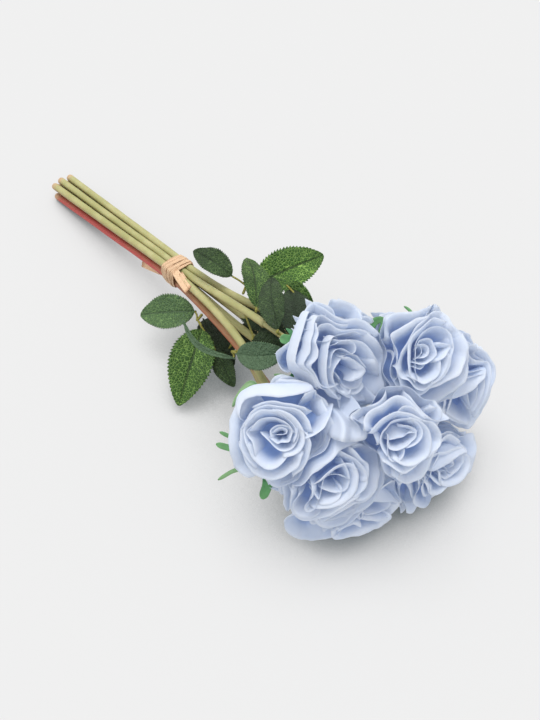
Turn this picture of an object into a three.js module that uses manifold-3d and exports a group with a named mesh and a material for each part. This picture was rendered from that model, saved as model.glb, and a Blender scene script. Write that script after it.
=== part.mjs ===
// A tied bunch of eight artificial roses, lying on a table: fabric blooms, moulded calyxes and
// stems, sprays of serrated leaves, and a raffia tie. Millimetres, +X from the cut ends of the
// stems to the heads, +Z up. The bunch is laid out round its tie and then centred on its base.
import * as THREE from "three";
import { mergeVertices } from "three/addons/utils/BufferGeometryUtils.js";
import Module from "manifold-3d";

const wasm = await Module();
wasm.setup();

// ---------------------------------------------------------------- driving dimensions

const CLEARANCE = 0.3; // between one piece and the next

const TIE_HEIGHT = 41; // middle of the bundle above the table, where it is tied
const STEM_RADIUS = 2.7;
const NECK_RADIUS = 2.2; // of the thinner stem beyond the collar, below the calyx
const STEM_SIDES = 8;
const COLLAR = 0.87; // share of the stem's length where the sleeve ends and the neck goes on
const STEM_SPACING = 6; // between the middles of touching stems in the tie
const ROW_SPACING = 5.25; // between the three rows of the bundle
const CUT_END = -166; // x of the cut ends
const CUT_SPREAD = 1.3; // the bundle is this much wider at the cut ends than in the tie

const BLOOM_MIDDLE = 24; // from the foot of a bloom up its axis to its middle
const PETAL_THICKNESS = 0.8;
const PRESS_DEPTH = 6; // a petal begins to bend this far before the next bloom
const NEIGHBOUR_REACH = 85; // blooms nearer than this press on each other

const CALYX_LENGTH = 9.5;
const CALYX_RADIUS = 6.6;
const SEPAL_LENGTH = 24;
const SEPAL_HALF_WIDTH = 4;
const SEPAL_THICKNESS = 0.8;

const LEAF_THICKNESS = 0.8;
const LEAF_ROWS = 8; // two rows to a tooth
const PETIOLE_RADIUS = 0.9;

const BAND_WIDTH = 13;
const BAND_THICKNESS = 1.1;
const TIE_SLOPE = 0.15; // rise of the bundle in the tie, per unit of length
const TAIL_HALF_WIDTH = 2.4;
const TAIL_SAG = 1;
const TAILS = [
  { foot: [2, -10.3, 42], tip: [29, -15, 42], face: [0.2, -0.9, 0.4] },
  { foot: [-4, -3, 31], tip: [-38, -12, 18], face: [0.2, -0.4, 0.9] },
];

// Each rose: the middle of its bloom from the tie, the way it faces, the turn of its petals
// in radians, its size beside the others, how much room it takes from its neighbours, its place
// in the tie as steps from the middle of the bundle, and where its stem runs halfway.
const ROSES = [
  { middle: [191, -8, 122], facing: [0.9, 0, 0.44], turn: 0.3, size: 1.1, room: 1.15,
    slot: [0, 1], halfway: [105, -7, 87] },
  { middle: [220, 41, 118], facing: [0.55, -0.18, 0.81], turn: 1.2, size: 0.98, room: 1.02,
    slot: [1, 1], halfway: [72, 10, 62] },
  { middle: [235, 67, 71], facing: [0.85, -0.46, 0.25], turn: 2.1, size: 1, room: 0.98,
    slot: [1, -1], halfway: [105, 22, 48] },
  { middle: [254, -12, 107], facing: [0.61, -0.36, 0.71], turn: 0.8, size: 0.95, room: 1,
    slot: [-0.5, 0], halfway: [108, -7, 61] },
  { middle: [203, -68, 108], facing: [0.4, -0.45, 0.79], turn: 2.6, size: 1.02, room: 1.08,
    slot: [-1, 1], halfway: [101, -20, 67] },
  { middle: [235, -51, 76], facing: [0.76, -0.33, 0.56], turn: 1.7, size: 1.02, room: 1.05,
    slot: [-1, -1], halfway: [104, -16, 47] },
  { middle: [242, -33, 35], facing: [0.94, 0.1, 0.3], turn: 0.1, size: 1.1, room: 1,
    slot: [0, -1], halfway: [102, -11, 33] },
  { middle: [255, 30, 32], facing: [0.86, 0.03, 0.5], turn: 2.4, size: 1.04, room: 1,
    slot: [0.55, 0], halfway: [106, 9, 47] },
];

// Each whorl of petals, from the bud outwards: how many, the height of its roots, the radius of
// its cup, its length up the axis, the half width of a petal as an angle, how far its rim rolls
// out and sinks, and the rows of faces up a petal.
const WHORLS = [
  { count: 2, root: 16, radius: 8, length: 32, halfAngle: 1.7, roll: 1.5, sink: 0, rows: 2 },
  { count: 3, root: 11, radius: 16, length: 36, halfAngle: 1.15, roll: 4, sink: 1.5, rows: 2 },
  { count: 4, root: 6, radius: 23.5, length: 34, halfAngle: 0.88, roll: 7, sink: 4, rows: 3 },
  { count: 5, root: 1.5, radius: 30.5, length: 31, halfAngle: 0.7, roll: 10, sink: 8, rows: 3 },
];

// Each spray: the rose whose stem carries it, where its stalk forks, and its leaves as tip, half
// width and the way the upper face looks.
const SPRAYS = [
  { rose: 5, fork: [47, -20, 36], leaves: [
    { tip: [9, -45, 28], halfWidth: 13, face: [0.25, -0.1, 1] },
    { tip: [81, -70, 8], halfWidth: 14, face: [0.3, -0.2, 1] },
    { tip: [92, -24, 20], halfWidth: 11, face: [0.3, -0.4, 0.9] },
  ] },
  { rose: 4, fork: [101, -33, 71], leaves: [
    { tip: [68, -46, 80], halfWidth: 9, face: [0.2, 0.9, 0.35] },
    { tip: [149, -31, 86], halfWidth: 11, face: [0.3, -0.2, 0.9] },
  ] },
  { rose: 1, fork: [64, 20, 68], leaves: [
    { tip: [12, 10, 72], halfWidth: 11, face: [-0.1, 0.1, 1] },
    { tip: [80, 83, 70], halfWidth: 16, face: [0.2, -0.3, 0.9] },
  ] },
  { rose: 0, fork: [109, -3, 97], leaves: [
    { tip: [54, 25, 85], halfWidth: 11, face: [0.3, -0.3, 0.9] },
  ] },
  { rose: 0, fork: [128, -6, 105], leaves: [
    { tip: [86, 24, 104], halfWidth: 10, face: [0.5, -0.3, 0.8] },
  ] },
  { rose: 6, fork: [76, -13, 21], leaves: [
    { tip: [99, -25, 5], halfWidth: 8, face: [0.4, -0.5, 0.7] },
    { tip: [92, 16, 10], halfWidth: 9, face: [0.4, 0.3, 0.8] },
  ] },
  { rose: 1, fork: [124, 36, 84], leaves: [
    { tip: [100, 38, 99], halfWidth: 8, face: [0.6, 0.1, 0.7] },
    { tip: [104, 44, 70], halfWidth: 9, face: [0.2, 0, 1] },
  ] },
  { rose: 3, fork: [107, -12, 74], leaves: [
    { tip: [140, -15, 82], halfWidth: 9, face: [0.1, -0.2, 1] },
  ] },
];

// ---------------------------------------------------------------- small tools

let seed = 7;

/** A seeded draw between low and high, the same on every run. */
function draw(low, high) {
  seed = (seed * 16807) % 2147483647;
  return low + (high - low) * (seed / 2147483647);
}

/** A point of the layout round the tie, from a list of three numbers. */
function point(list) {
  return new THREE.Vector3(...list);
}

/** The closed solid of a closed three.js geometry. */
function solidOf(geometry) {
  const bare = geometry.clone();
  bare.deleteAttribute("normal");
  bare.deleteAttribute("uv");
  const welded = mergeVertices(bare, 1e-4);
  const mesh = new wasm.Mesh({
    numProp: 3,
    vertProperties: new Float32Array(welded.attributes.position.array),
    triVerts: new Uint32Array(welded.index.array),
  });
  return new wasm.Manifold(mesh);
}

/** The three.js geometry of a solid. */
function geometryOf(solid) {
  const mesh = solid.getMesh();
  const geometry = new THREE.BufferGeometry();
  geometry.setAttribute("position", new THREE.BufferAttribute(mesh.vertProperties, 3));
  geometry.setIndex(new THREE.BufferAttribute(mesh.triVerts, 1));
  geometry.computeVertexNormals();
  return geometry;
}

/** The biggest body of a solid, without the crumbs and pockets that cutting leaves. */
function biggest(solid) {
  const bodies = solid.decompose();
  return bodies.reduce((best, body) => (body.volume() > best.volume() ? body : best));
}

/** All the solids joined. */
function joined(solids) {
  return solids.reduce((whole, solid) => whole.add(solid));
}

/**
 * A thin blade over a surface: surface(u, v) gives the middle of the blade, with u from -1 to 1
 * across it and v from 0 at its root to 1 at its rim. The blade is that surface moved half of
 * its thickness along its normal, to each side.
 */
function blade(surface, across, along, thickness) {
  const geometry = new THREE.BoxGeometry(2, 1, 1, across, along, 1);
  const place = geometry.attributes.position;
  const step = 0.01;
  for (let i = 0; i < place.count; i += 1) {
    const u = place.getX(i);
    const v = place.getY(i) + 0.5;
    const side = place.getZ(i);
    const middle = surface(u, v);
    const over = surface(u + step, v).sub(surface(u - step, v));
    const up = surface(u, Math.min(v + step, 1)).sub(surface(u, Math.max(v - step, 0)));
    const normal = over.cross(up).normalize();
    middle.addScaledVector(normal, side * thickness);
    place.setXYZ(i, middle.x, middle.y, middle.z);
  }
  return solidOf(geometry);
}

/** A round rod along a curve. */
function rod(curve, radius, sides, steps) {
  const section = new THREE.Shape();
  for (let i = 0; i < sides; i += 1) {
    const angle = ((i + 0.5) / sides) * 2 * Math.PI;
    const corner = [radius * Math.cos(angle), radius * Math.sin(angle)];
    if (i === 0) section.moveTo(...corner);
    else section.lineTo(...corner);
  }
  section.closePath();
  return solidOf(new THREE.ExtrudeGeometry(section, { steps, extrudePath: curve }));
}

/** The stretch of a curve between two shares of its length, as a curve of its own. */
function stretch(curve, from, to, pieces) {
  const points = [];
  for (let i = 0; i <= pieces; i += 1) {
    points.push(curve.getPointAt(from + ((to - from) * i) / pieces));
  }
  return new THREE.CatmullRomCurve3(points);
}

/** The point of a curve that is nearest to a spot. */
function nearestOn(curve, spot) {
  const points = curve.getSpacedPoints(200);
  return points.reduce((a, b) => (a.distanceTo(spot) < b.distanceTo(spot) ? a : b));
}

// ---------------------------------------------------------------- the layout of the roses

/** A rose's own frame: its foot, its axis and the turn of its petals. */
function frameOf(rose) {
  const axis = point(rose.facing).normalize();
  const turn = new THREE.Quaternion().setFromUnitVectors(new THREE.Vector3(0, 0, 1), axis);
  const spin = new THREE.Quaternion().setFromAxisAngle(new THREE.Vector3(0, 0, 1), rose.turn);
  const foot = point(rose.middle).addScaledVector(axis, -BLOOM_MIDDLE * rose.size);
  const place = new THREE.Matrix4();
  place.compose(foot, turn.multiply(spin), new THREE.Vector3().setScalar(rose.size));
  return { axis, foot, place };
}

/**
 * The walls that hold a rose in: the table, which cuts the petals pressed on it flat, and a
 * plane to each near neighbour, which the rose stays short of by half of the clearance.
 */
function wallsOf(rose) {
  const table = new THREE.Plane(new THREE.Vector3(0, 0, -1), 0);
  const walls = [{ plane: table, depth: PRESS_DEPTH / 8, bend: -0.35, cut: 0 }];
  for (const other of ROSES) {
    const across = point(other.middle).sub(point(rose.middle));
    const distance = across.length();
    if (other === rose || distance > NEIGHBOUR_REACH) continue;
    across.normalize();
    const share = (distance * rose.room) / (rose.room + other.room);
    const middle = point(rose.middle).addScaledVector(across, share);
    const plane = new THREE.Plane().setFromNormalAndCoplanarPoint(across, middle);
    walls.push({ plane, depth: PRESS_DEPTH, bend: CLEARANCE, cut: CLEARANCE / 2 });
  }
  return walls;
}

/**
 * A point pressed back by the walls. Nearer to a wall than the press depth, its distance is
 * gap + depth * exp(-x / depth), where x is how far it is past that depth, so that it comes
 * close to the wall and never through it.
 */
function pressed(spot, walls, gap) {
  for (const { plane, depth, bend } of walls) {
    const past = plane.distanceToPoint(spot) + depth + gap + bend;
    if (past <= 0) continue;
    const kept = depth * (1 - Math.exp(-past / depth));
    spot.addScaledVector(plane.normal, kept - past);
  }
  return spot;
}

/** A solid cut off flat at the walls. */
function trimmed(solid, walls) {
  return walls.reduce((rest, { plane, cut }) => {
    const inward = plane.normal.clone().negate();
    return rest.trimByPlane([inward.x, inward.y, inward.z], plane.constant + cut);
  }, solid);
}

// ---------------------------------------------------------------- bloom

/**
 * The surface of one petal, in its bloom's frame. With t the share of the petal's length, the
 * cup's radius is 3 + (radius - 3) * sin(90 deg * t / 0.55)^0.9 up to t = 0.55. Beyond, the
 * rim rolls out by roll * s^2 and sinks by sink * s^2, where s runs from 0 to 1. The sides
 * are cut lower than the middle, roll back, and one side lies inside the next petal.
 */
function petalSurface(whorl, azimuth, wave) {
  return (u, v) => {
    const t = v * (1 - 0.26 * Math.abs(u) ** 2.4);
    const rise = Math.min(t / 0.55, 1);
    const s = Math.max(0, (t - 0.55) / 0.45);
    const side = Math.abs(u) ** 3 * t * t;
    const cup = 3 + (whorl.radius - 3) * Math.sin((rise * Math.PI) / 2) ** 0.9;
    const ruffle = wave.size * t * t * Math.sin(5 * u + wave.phase);
    const radius = cup + whorl.roll * s * s * wave.roll + side * 2.5 + ruffle + 1.6 * u * rise;
    const length = whorl.length * wave.length;
    const height = whorl.root + length * t - whorl.sink * s * s - side * 2;
    const angle = azimuth + u * whorl.halfAngle * (0.2 + 0.8 * rise);
    return new THREE.Vector3(radius * Math.cos(angle), radius * Math.sin(angle), height);
  };
}

/** The small solid heart of a bloom, which the petals stand out of. */
function bloomCore() {
  const outline = [[0, 0.4], [8, 0.8], [11, 7], [7.5, 21], [0, 31]];
  const profile = outline.map(([radius, height]) => new THREE.Vector2(radius, height));
  const core = new THREE.LatheGeometry(profile, 6);
  core.rotateX(Math.PI / 2);
  return core;
}

function bloom(rose, walls) {
  const { place } = frameOf(rose);
  const pieces = [solidOf(bloomCore().applyMatrix4(place))];
  WHORLS.forEach((whorl, layer) => {
    const gap = PETAL_THICKNESS * (0.5 + 1.6 * (WHORLS.length - 1 - layer));
    for (let i = 0; i < whorl.count; i += 1) {
      const azimuth = ((i + 0.5 * (layer % 2) + draw(-0.08, 0.08)) / whorl.count) * 2 * Math.PI;
      const wave = {
        size: draw(0.4, 1.4),
        phase: draw(0, 6),
        roll: draw(0.7, 1.3),
        length: draw(0.95, 1.05),
      };
      const petal = petalSurface(whorl, azimuth, wave);
      const surface = (u, v) => pressed(petal(u, v).applyMatrix4(place), walls, gap);
      pieces.push(blade(surface, 3, whorl.rows, PETAL_THICKNESS));
    }
  });
  return biggest(trimmed(joined(pieces), walls));
}

// ---------------------------------------------------------------- calyx

/** The surface of one sepal, in its rose's frame: from the cup's rim out and back. */
function sepalSurface(azimuth, curl) {
  return (u, v) => {
    const width = SEPAL_HALF_WIDTH * (1 - v) ** 0.7 + 0.5;
    const radius = 4.5 + SEPAL_LENGTH * v * 0.85;
    const height = -1.4 - curl * v * v - 0.8 * u * u;
    const angle = azimuth + (u * width) / radius;
    return new THREE.Vector3(radius * Math.cos(angle), radius * Math.sin(angle), height);
  };
}

function calyx(rose, walls) {
  const { place } = frameOf(rose);
  const outline = [
    [0, -CALYX_LENGTH],
    [3.2, -CALYX_LENGTH],
    [CALYX_RADIUS, -3],
    [CALYX_RADIUS - 0.8, 0],
    [0, 0],
  ];
  const profile = outline.map(([radius, height]) => new THREE.Vector2(radius, height));
  const cup = new THREE.LatheGeometry(profile, 6).rotateX(Math.PI / 2).applyMatrix4(place);
  const pieces = [solidOf(cup)];
  for (let i = 0; i < 5; i += 1) {
    const sepal = sepalSurface(((i + draw(-0.15, 0.15)) / 5) * 2 * Math.PI, draw(1, 9));
    const surface = (u, v) => pressed(sepal(u, v).applyMatrix4(place), walls, SEPAL_THICKNESS);
    pieces.push(blade(surface, 1, 2, SEPAL_THICKNESS));
  }
  return biggest(trimmed(joined(pieces), walls));
}

// ---------------------------------------------------------------- stem

/** The middle line of a rose's stem, from its cut end through the tie to the calyx. */
function stemLine(rose, index) {
  const { axis, foot } = frameOf(rose);
  const [across, up] = rose.slot;
  const y = across * STEM_SPACING;
  const z = up * ROW_SPACING;
  const cutHeight = STEM_RADIUS + (up + 1) * ROW_SPACING;
  const end = foot.clone().addScaledVector(axis, -CALYX_LENGTH * rose.size - 2 * CLEARANCE);
  return new THREE.CatmullRomCurve3([
    new THREE.Vector3(CUT_END + 2 * (index % 3), y * CUT_SPREAD, cutHeight),
    new THREE.Vector3(CUT_END / 2, y * 1.15, (cutHeight + TIE_HEIGHT + z) / 2),
    new THREE.Vector3(-BAND_WIDTH, y, TIE_HEIGHT + z - BAND_WIDTH * TIE_SLOPE),
    new THREE.Vector3(BAND_WIDTH, y, TIE_HEIGHT + z + BAND_WIDTH * TIE_SLOPE),
    point(rose.halfway),
    end.clone().addScaledVector(axis, -16),
    end,
  ], false, "centripetal");
}

function stem(rose, index) {
  const line = stemLine(rose, index);
  const sleeve = rod(stretch(line, 0, COLLAR, 12), STEM_RADIUS, STEM_SIDES, 8);
  const neck = rod(stretch(line, COLLAR - 0.01, 1, 6), NECK_RADIUS, STEM_SIDES, 3);
  return sleeve.add(neck);
}

// ---------------------------------------------------------------- leaf spray

/**
 * The surface of one leaf. From the fork to its tip it arches towards its upper face. With
 * w = ((v - 0.1) / 0.9)^0.8, its half width is halfWidth * sin(180 deg * w)^0.7 beyond its
 * short stalk. The edge is saw-toothed, and both halves rise from the midrib.
 */
function leafSurface(leaf, fork) {
  const along = point(leaf.tip).sub(fork);
  const forward = along.clone().normalize();
  const face = point(leaf.face).projectOnPlane(forward).normalize();
  const over = forward.cross(face);
  const arch = along.length() * 0.09;
  return (u, v) => {
    const tooth = 1 + 0.1 * Math.cos(Math.PI * v * LEAF_ROWS) * Math.abs(u);
    const w = THREE.MathUtils.clamp((v - 0.1) / 0.9, 0, 0.999) ** 0.8;
    const spread = u * (leaf.halfWidth * Math.sin(Math.PI * w) ** 0.7 * tooth + 0.8);
    const lift = arch * Math.sin(Math.PI * v) + 0.28 * Math.abs(spread);
    return fork.clone().addScaledVector(along, v).addScaledVector(over, spread)
      .addScaledVector(face, lift);
  };
}

function spray(plan) {
  const fork = point(plan.fork);
  const root = nearestOn(stemLine(ROSES[plan.rose], plan.rose), fork);
  const away = fork.clone().sub(root).normalize();
  const start = root.clone().addScaledVector(away, STEM_RADIUS + CLEARANCE + PETIOLE_RADIUS);
  const end = fork.clone().addScaledVector(away, 1);
  const pieces = [rod(new THREE.LineCurve3(start, end), PETIOLE_RADIUS, 6, 1)];
  for (const leaf of plan.leaves) {
    pieces.push(blade(leafSurface(leaf, fork), 2, LEAF_ROWS, LEAF_THICKNESS));
  }
  return biggest(joined(pieces));
}

// ---------------------------------------------------------------- raffia tie

/** A rectangle with round corners, as a shape or a hole. */
function roundedOutline(Outline, halfWide, halfHigh, corner) {
  const outline = new Outline();
  outline.moveTo(halfWide, -halfHigh + corner);
  outline.absarc(halfWide - corner, halfHigh - corner, corner, 0, Math.PI / 2);
  outline.absarc(-halfWide + corner, halfHigh - corner, corner, Math.PI / 2, Math.PI);
  outline.absarc(-halfWide + corner, -halfHigh + corner, corner, Math.PI, 1.5 * Math.PI);
  outline.absarc(halfWide - corner, -halfHigh + corner, corner, 1.5 * Math.PI, 2 * Math.PI);
  return outline;
}

/** A loose end of the raffia, from its foot in the band to its tip, with a sag between. */
function tail(plan) {
  const foot = point(plan.foot);
  const along = point(plan.tip).sub(foot);
  const over = point(plan.face).cross(along).normalize();
  const surface = (u, v) => {
    const spot = foot.clone().addScaledVector(along, v);
    spot.addScaledVector(over, u * TAIL_HALF_WIDTH * (1 - 0.3 * v));
    spot.z -= TAIL_SAG * Math.sin(Math.PI * v);
    return spot;
  };
  return blade(surface, 1, 3, BAND_THICKNESS);
}

function raffiaTie() {
  const corner = STEM_RADIUS + 3 * CLEARANCE;
  const halfWide = STEM_SPACING + corner;
  const halfHigh = ROW_SPACING + corner;
  const outer = BAND_THICKNESS;
  const section = roundedOutline(
    THREE.Shape, halfWide + outer, halfHigh + outer, corner + outer);
  section.holes.push(roundedOutline(THREE.Path, halfWide, halfHigh, corner));
  const settings = { depth: BAND_WIDTH, bevelEnabled: false, curveSegments: 4 };
  const band = new THREE.ExtrudeGeometry(section, settings);
  band.translate(0, 0, -BAND_WIDTH / 2);
  band.rotateX(Math.PI / 2);
  band.rotateZ(Math.PI / 2);
  band.rotateY(-Math.atan(TIE_SLOPE));
  band.translate(0, 0, TIE_HEIGHT);
  return joined([solidOf(band), ...TAILS.map(tail)]);
}

// ---------------------------------------------------------------- assembly

const bunch = new THREE.Group();
bunch.name = "bunch_of_roses";

const FINISHES = {
  bloom: { color: "#c3d2ee", roughness: 0.8, metalness: 0 },
  calyx: { color: "#4d9a5c", roughness: 0.6, metalness: 0 },
  stem: { color: "#b4b483", roughness: 0.5, metalness: 0 },
  spray: { color: "#3f5f2e", roughness: 0.65, metalness: 0 },
  raffia: { color: "#e4bc95", roughness: 0.8, metalness: 0 },
};

function put(name, solid, finish) {
  const mesh = new THREE.Mesh(geometryOf(solid), new THREE.MeshStandardMaterial(FINISHES[finish]));
  mesh.name = name;
  bunch.add(mesh);
}

ROSES.forEach((rose, index) => {
  const walls = wallsOf(rose);
  put(`bloom_${index + 1}`, bloom(rose, walls), "bloom");
  put(`calyx_${index + 1}`, calyx(rose, walls), "calyx");
  put(`stem_${index + 1}`, stem(rose, index), "stem");
});
SPRAYS.forEach((plan, index) => put(`leaf_spray_${index + 1}`, spray(plan), "spray"));
put("raffia_tie", raffiaTie(), "raffia");

const box = new THREE.Box3().setFromObject(bunch);
const middle = box.getCenter(new THREE.Vector3());
for (const mesh of bunch.children) {
  mesh.position.set(-middle.x, -middle.y, -box.min.z);
}

export default bunch;
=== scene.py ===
"""A tied bunch of eight artificial roses lying on a table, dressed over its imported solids.

The layout is worked out in millimetres round the tie, with +X from the cut ends of the stems
to the heads and +Z up, and is moved into the frame, in metres, as each mesh is made.
"""

import math

import bmesh
import bpy
import numpy as np
from mathutils import Matrix


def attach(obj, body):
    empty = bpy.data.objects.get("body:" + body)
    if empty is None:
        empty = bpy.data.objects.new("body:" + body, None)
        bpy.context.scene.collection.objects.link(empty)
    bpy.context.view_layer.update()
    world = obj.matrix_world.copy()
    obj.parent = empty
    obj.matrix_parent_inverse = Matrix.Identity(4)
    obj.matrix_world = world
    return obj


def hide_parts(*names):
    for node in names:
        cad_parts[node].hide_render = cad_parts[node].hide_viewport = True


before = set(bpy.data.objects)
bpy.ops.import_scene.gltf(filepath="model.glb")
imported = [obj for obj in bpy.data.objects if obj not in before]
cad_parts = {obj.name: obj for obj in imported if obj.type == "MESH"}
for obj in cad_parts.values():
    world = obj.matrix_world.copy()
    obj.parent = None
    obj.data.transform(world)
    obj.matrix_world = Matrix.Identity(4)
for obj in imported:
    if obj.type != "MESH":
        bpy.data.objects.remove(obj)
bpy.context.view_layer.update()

# ---------------------------------------------------------------- stems
# Eight plastic stems, moulded over wire. A thick olive sleeve runs from the rounded cut end
# through the tie, and stops in a flared collar, from which a thinner neck goes on to the calyx.
# The lowest stems carry a breath of red from an airbrush.

UP = np.array([0, 0, 1.0])
TIE_IN_FRAME = np.array([-60.1, 0.1, 0.0])  # where the layout's origin lies in the frame, in mm
TIE_HEIGHT = 41
TIE_SLOPE = 0.15
BAND_WIDTH = 13
STEM_RADIUS = 2.95
NECK_RADIUS = 2.2
STEM_SPACING = 6
ROW_SPACING = 5.25
CUT_END = -166
CUT_SPREAD = 1.3
CUT_HEIGHT = 2.7  # of the lowest row's middle, at the cut ends
CALYX_LENGTH = 9.5
BLOOM_MIDDLE = 24  # from a bloom's foot to its middle
NECK_RUN = 16  # how far a neck runs straight into its calyx
COLLAR = 0.87  # where along a stem its sleeve stops
COLLAR_FLARE = 0.55
STEM_POINTS = 320
STEM_SIDES = 20
NECK_TUCK = 6  # how many of those points of the neck lie inside the sleeve

# Each rose: the middle of its bloom, the way it faces, the turn of its petals, its size, how
# much room it takes from its neighbours, its place in the tie and where its stem runs halfway.
ROSES = [
    dict(middle=(191, -8, 122), facing=(0.9, 0, 0.44), turn=1.21, size=1.1, room=1.1,
         slot=(0, 1), halfway=(105, -7, 87)),
    dict(middle=(220, 41, 118), facing=(0.55, -0.18, 0.81), turn=0.93, size=0.98, room=1.08,
         slot=(1, 1), halfway=(72, 10, 62)),
    dict(middle=(235, 67, 71), facing=(0.85, -0.46, 0.25), turn=1.02, size=1, room=0.98,
         slot=(1, -1), halfway=(105, 22, 48)),
    dict(middle=(254, -12, 107), facing=(0.61, -0.36, 0.71), turn=0.92, size=0.95, room=1,
         slot=(-0.5, 0), halfway=(108, -7, 61)),
    dict(middle=(203, -68, 108), facing=(0.4, -0.45, 0.79), turn=0.84, size=1.02, room=1.08,
         slot=(-1, 1), halfway=(101, -20, 67)),
    dict(middle=(235, -51, 76), facing=(0.76, -0.33, 0.56), turn=0.99, size=1.02, room=1.05,
         slot=(-1, -1), halfway=(104, -16, 47)),
    dict(middle=(242, -33, 35), facing=(0.94, 0.1, 0.3), turn=1.37, size=1.1, room=1,
         slot=(0, -1), halfway=(102, -11, 33)),
    dict(middle=(255, 30, 32), facing=(0.86, 0.03, 0.5), turn=1.18, size=1.04, room=1,
         slot=(0.55, 0), halfway=(106, 9, 47)),
]


class Tone:
    """A shader socket on which + - * work, with numbers or with other tones, and abs()."""

    def __init__(self, finish, socket):
        self.finish = finish
        self.socket = socket

    def math(self, operation, first, second=0.0, clamp=False):
        settings = dict(operation=operation, use_clamp=clamp)
        return self.finish.node("ShaderNodeMath", settings, {0: first, 1: second})

    def __add__(self, other):
        return self.math("ADD", self, other)

    def __radd__(self, other):
        return self.math("ADD", other, self)

    def __sub__(self, other):
        return self.math("SUBTRACT", self, other)

    def __rsub__(self, other):
        return self.math("SUBTRACT", other, self)

    def __mul__(self, other):
        return self.math("MULTIPLY", self, other)

    def __rmul__(self, other):
        return self.math("MULTIPLY", other, self)

    def __abs__(self):
        return self.math("ABSOLUTE", self)

    def clamped(self):
        return self.math("ADD", self, 0.0, clamp=True)

    def step(self, low, high):
        """Rises smoothly from 0 at low to 1 at high."""
        settings = dict(interpolation_type="SMOOTHSTEP")
        values = {"Value": self, "From Min": low, "From Max": high}
        return self.finish.node("ShaderNodeMapRange", settings, values)


class Finish:
    """A material under construction. node() adds any node: its type, its settings, which are
    set first, and the values or links of its sockets. The result is a Tone of one output."""

    def __init__(self, name):
        self.material = bpy.data.materials.new(name)
        self.material.use_nodes = True
        self.tree = self.material.node_tree
        self.tree.nodes.clear()

    def node(self, kind, settings=None, sockets=None, output=0):
        made = self.tree.nodes.new(kind)
        for key, value in (settings or {}).items():
            setattr(made, key, value)
        for key, value in (sockets or {}).items():
            if isinstance(value, Tone):
                self.tree.links.new(value.socket, made.inputs[key])
            else:
                made.inputs[key].default_value = value
        return Tone(self, made.outputs[output])

    def blend(self, share, first, second):
        """The first colour where share is 0, the second where it is 1."""
        return self.node("ShaderNodeMix", dict(data_type="RGBA"),
                         {0: share, 6: first, 7: second}, output=2)

    def object_place(self):
        return self.node("ShaderNodeTexCoord", output=3)

    def map_place(self):
        """A place on the piece's own map, which make_piece lays."""
        return self.node("ShaderNodeUVMap", dict(uv_map="along"))

    def uv(self):
        """The two numbers of the piece's own map: across and along."""
        across = self.node("ShaderNodeSeparateXYZ", sockets={0: self.map_place()})
        return across, Tone(self, across.socket.node.outputs[1])

    def mark(self, name):
        """A number that the mesh carries at each of its points."""
        return self.node("ShaderNodeAttribute", dict(attribute_name=name), output=2)

    def noise(self, place, scale, detail=2.0, roughness=0.5):
        return self.node("ShaderNodeTexNoise", sockets={
            "Vector": place, "Scale": scale, "Detail": detail, "Roughness": roughness})

    def stretched(self, place, scale):
        return self.node("ShaderNodeVectorMath", dict(operation="MULTIPLY"),
                         {0: place, 1: scale})

    def bump(self, height, distance, strength=1.0):
        return self.node("ShaderNodeBump", sockets={
            "Height": height, "Distance": distance, "Strength": strength})

    def skin(self, tint, roughness, gloss, normal, more=()):
        """The main shader, from its colour, roughness, specular level and relief."""
        return self.node("ShaderNodeBsdfPrincipled", sockets={
            "Base Color": tint, "Roughness": roughness, "Specular IOR Level": gloss,
            "Normal": normal, **dict(more)})

    def surface(self, shader):
        out = self.tree.nodes.new("ShaderNodeOutputMaterial")
        self.tree.links.new(shader.socket, out.inputs[0])
        return self.material


def colour(red, green, blue):
    """A linear colour with full alpha, from the 0 to 255 of a paint chart."""
    chart = np.array([red, green, blue]) / 255
    linear = np.where(chart <= 0.04045, chart / 12.92, ((chart + 0.055) / 1.055) ** 2.4)
    return (*linear.tolist(), 1.0)


def unit(vectors):
    """Vectors divided by their lengths."""
    return vectors / np.linalg.norm(vectors, axis=-1, keepdims=True)


def smooth_line(points, count):
    """A line through the points, resampled to count points at even steps of its length. Between
    two points it is the cubic whose ends have the slopes of a centripetal Catmull-Rom curve:
    each stretch takes the square root of its length as its time."""
    through = np.array(points, float)
    through = np.vstack([2 * through[0] - through[1], through, 2 * through[-1] - through[-2]])
    times = np.sqrt(np.linalg.norm(np.diff(through, axis=0), axis=1))[:, None]
    steps = np.diff(through, axis=0) / times
    before, here, after = times[:-2], times[1:-1], times[2:]
    chord = (through[2:-1] - through[:-3]) / (before + here)
    start = (steps[:-2] - chord + steps[1:-1]) * here
    chord = (through[3:] - through[1:-2]) / (here + after)
    end = (steps[1:-1] - chord + steps[2:]) * here
    share = np.linspace(0, 1, 40, endpoint=False)[None, :, None]
    a, b = through[1:-2, None], through[2:-1, None]
    start, end = start[:, None], end[:, None]
    line = (a + start * share + (3 * (b - a) - 2 * start - end) * share ** 2
            + (2 * (a - b) + start + end) * share ** 3).reshape(-1, 3)
    line = np.vstack([line, through[-2]])
    length = np.concatenate([[0], np.cumsum(np.linalg.norm(np.diff(line, axis=0), axis=1))])
    even = np.linspace(0, length[-1], count)
    return np.stack([np.interp(even, length, line[:, i]) for i in range(3)], axis=1)


def tube(line, radius, sides=STEM_SIDES):
    """A tube as a grid of points: round each point of the line, a circle of that radius, square
    to the line, counted from its level direction."""
    tangent = unit(np.gradient(line, axis=0))
    level = unit(np.cross(tangent, UP))
    up = np.cross(level, tangent)
    angle = np.linspace(0, 2 * np.pi, sides + 1)[None, :, None]
    ring = np.cos(angle) * level[:, None] + np.sin(angle) * up[:, None]
    return line[:, None] + ring * np.asarray(radius)[:, None, None]


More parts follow.
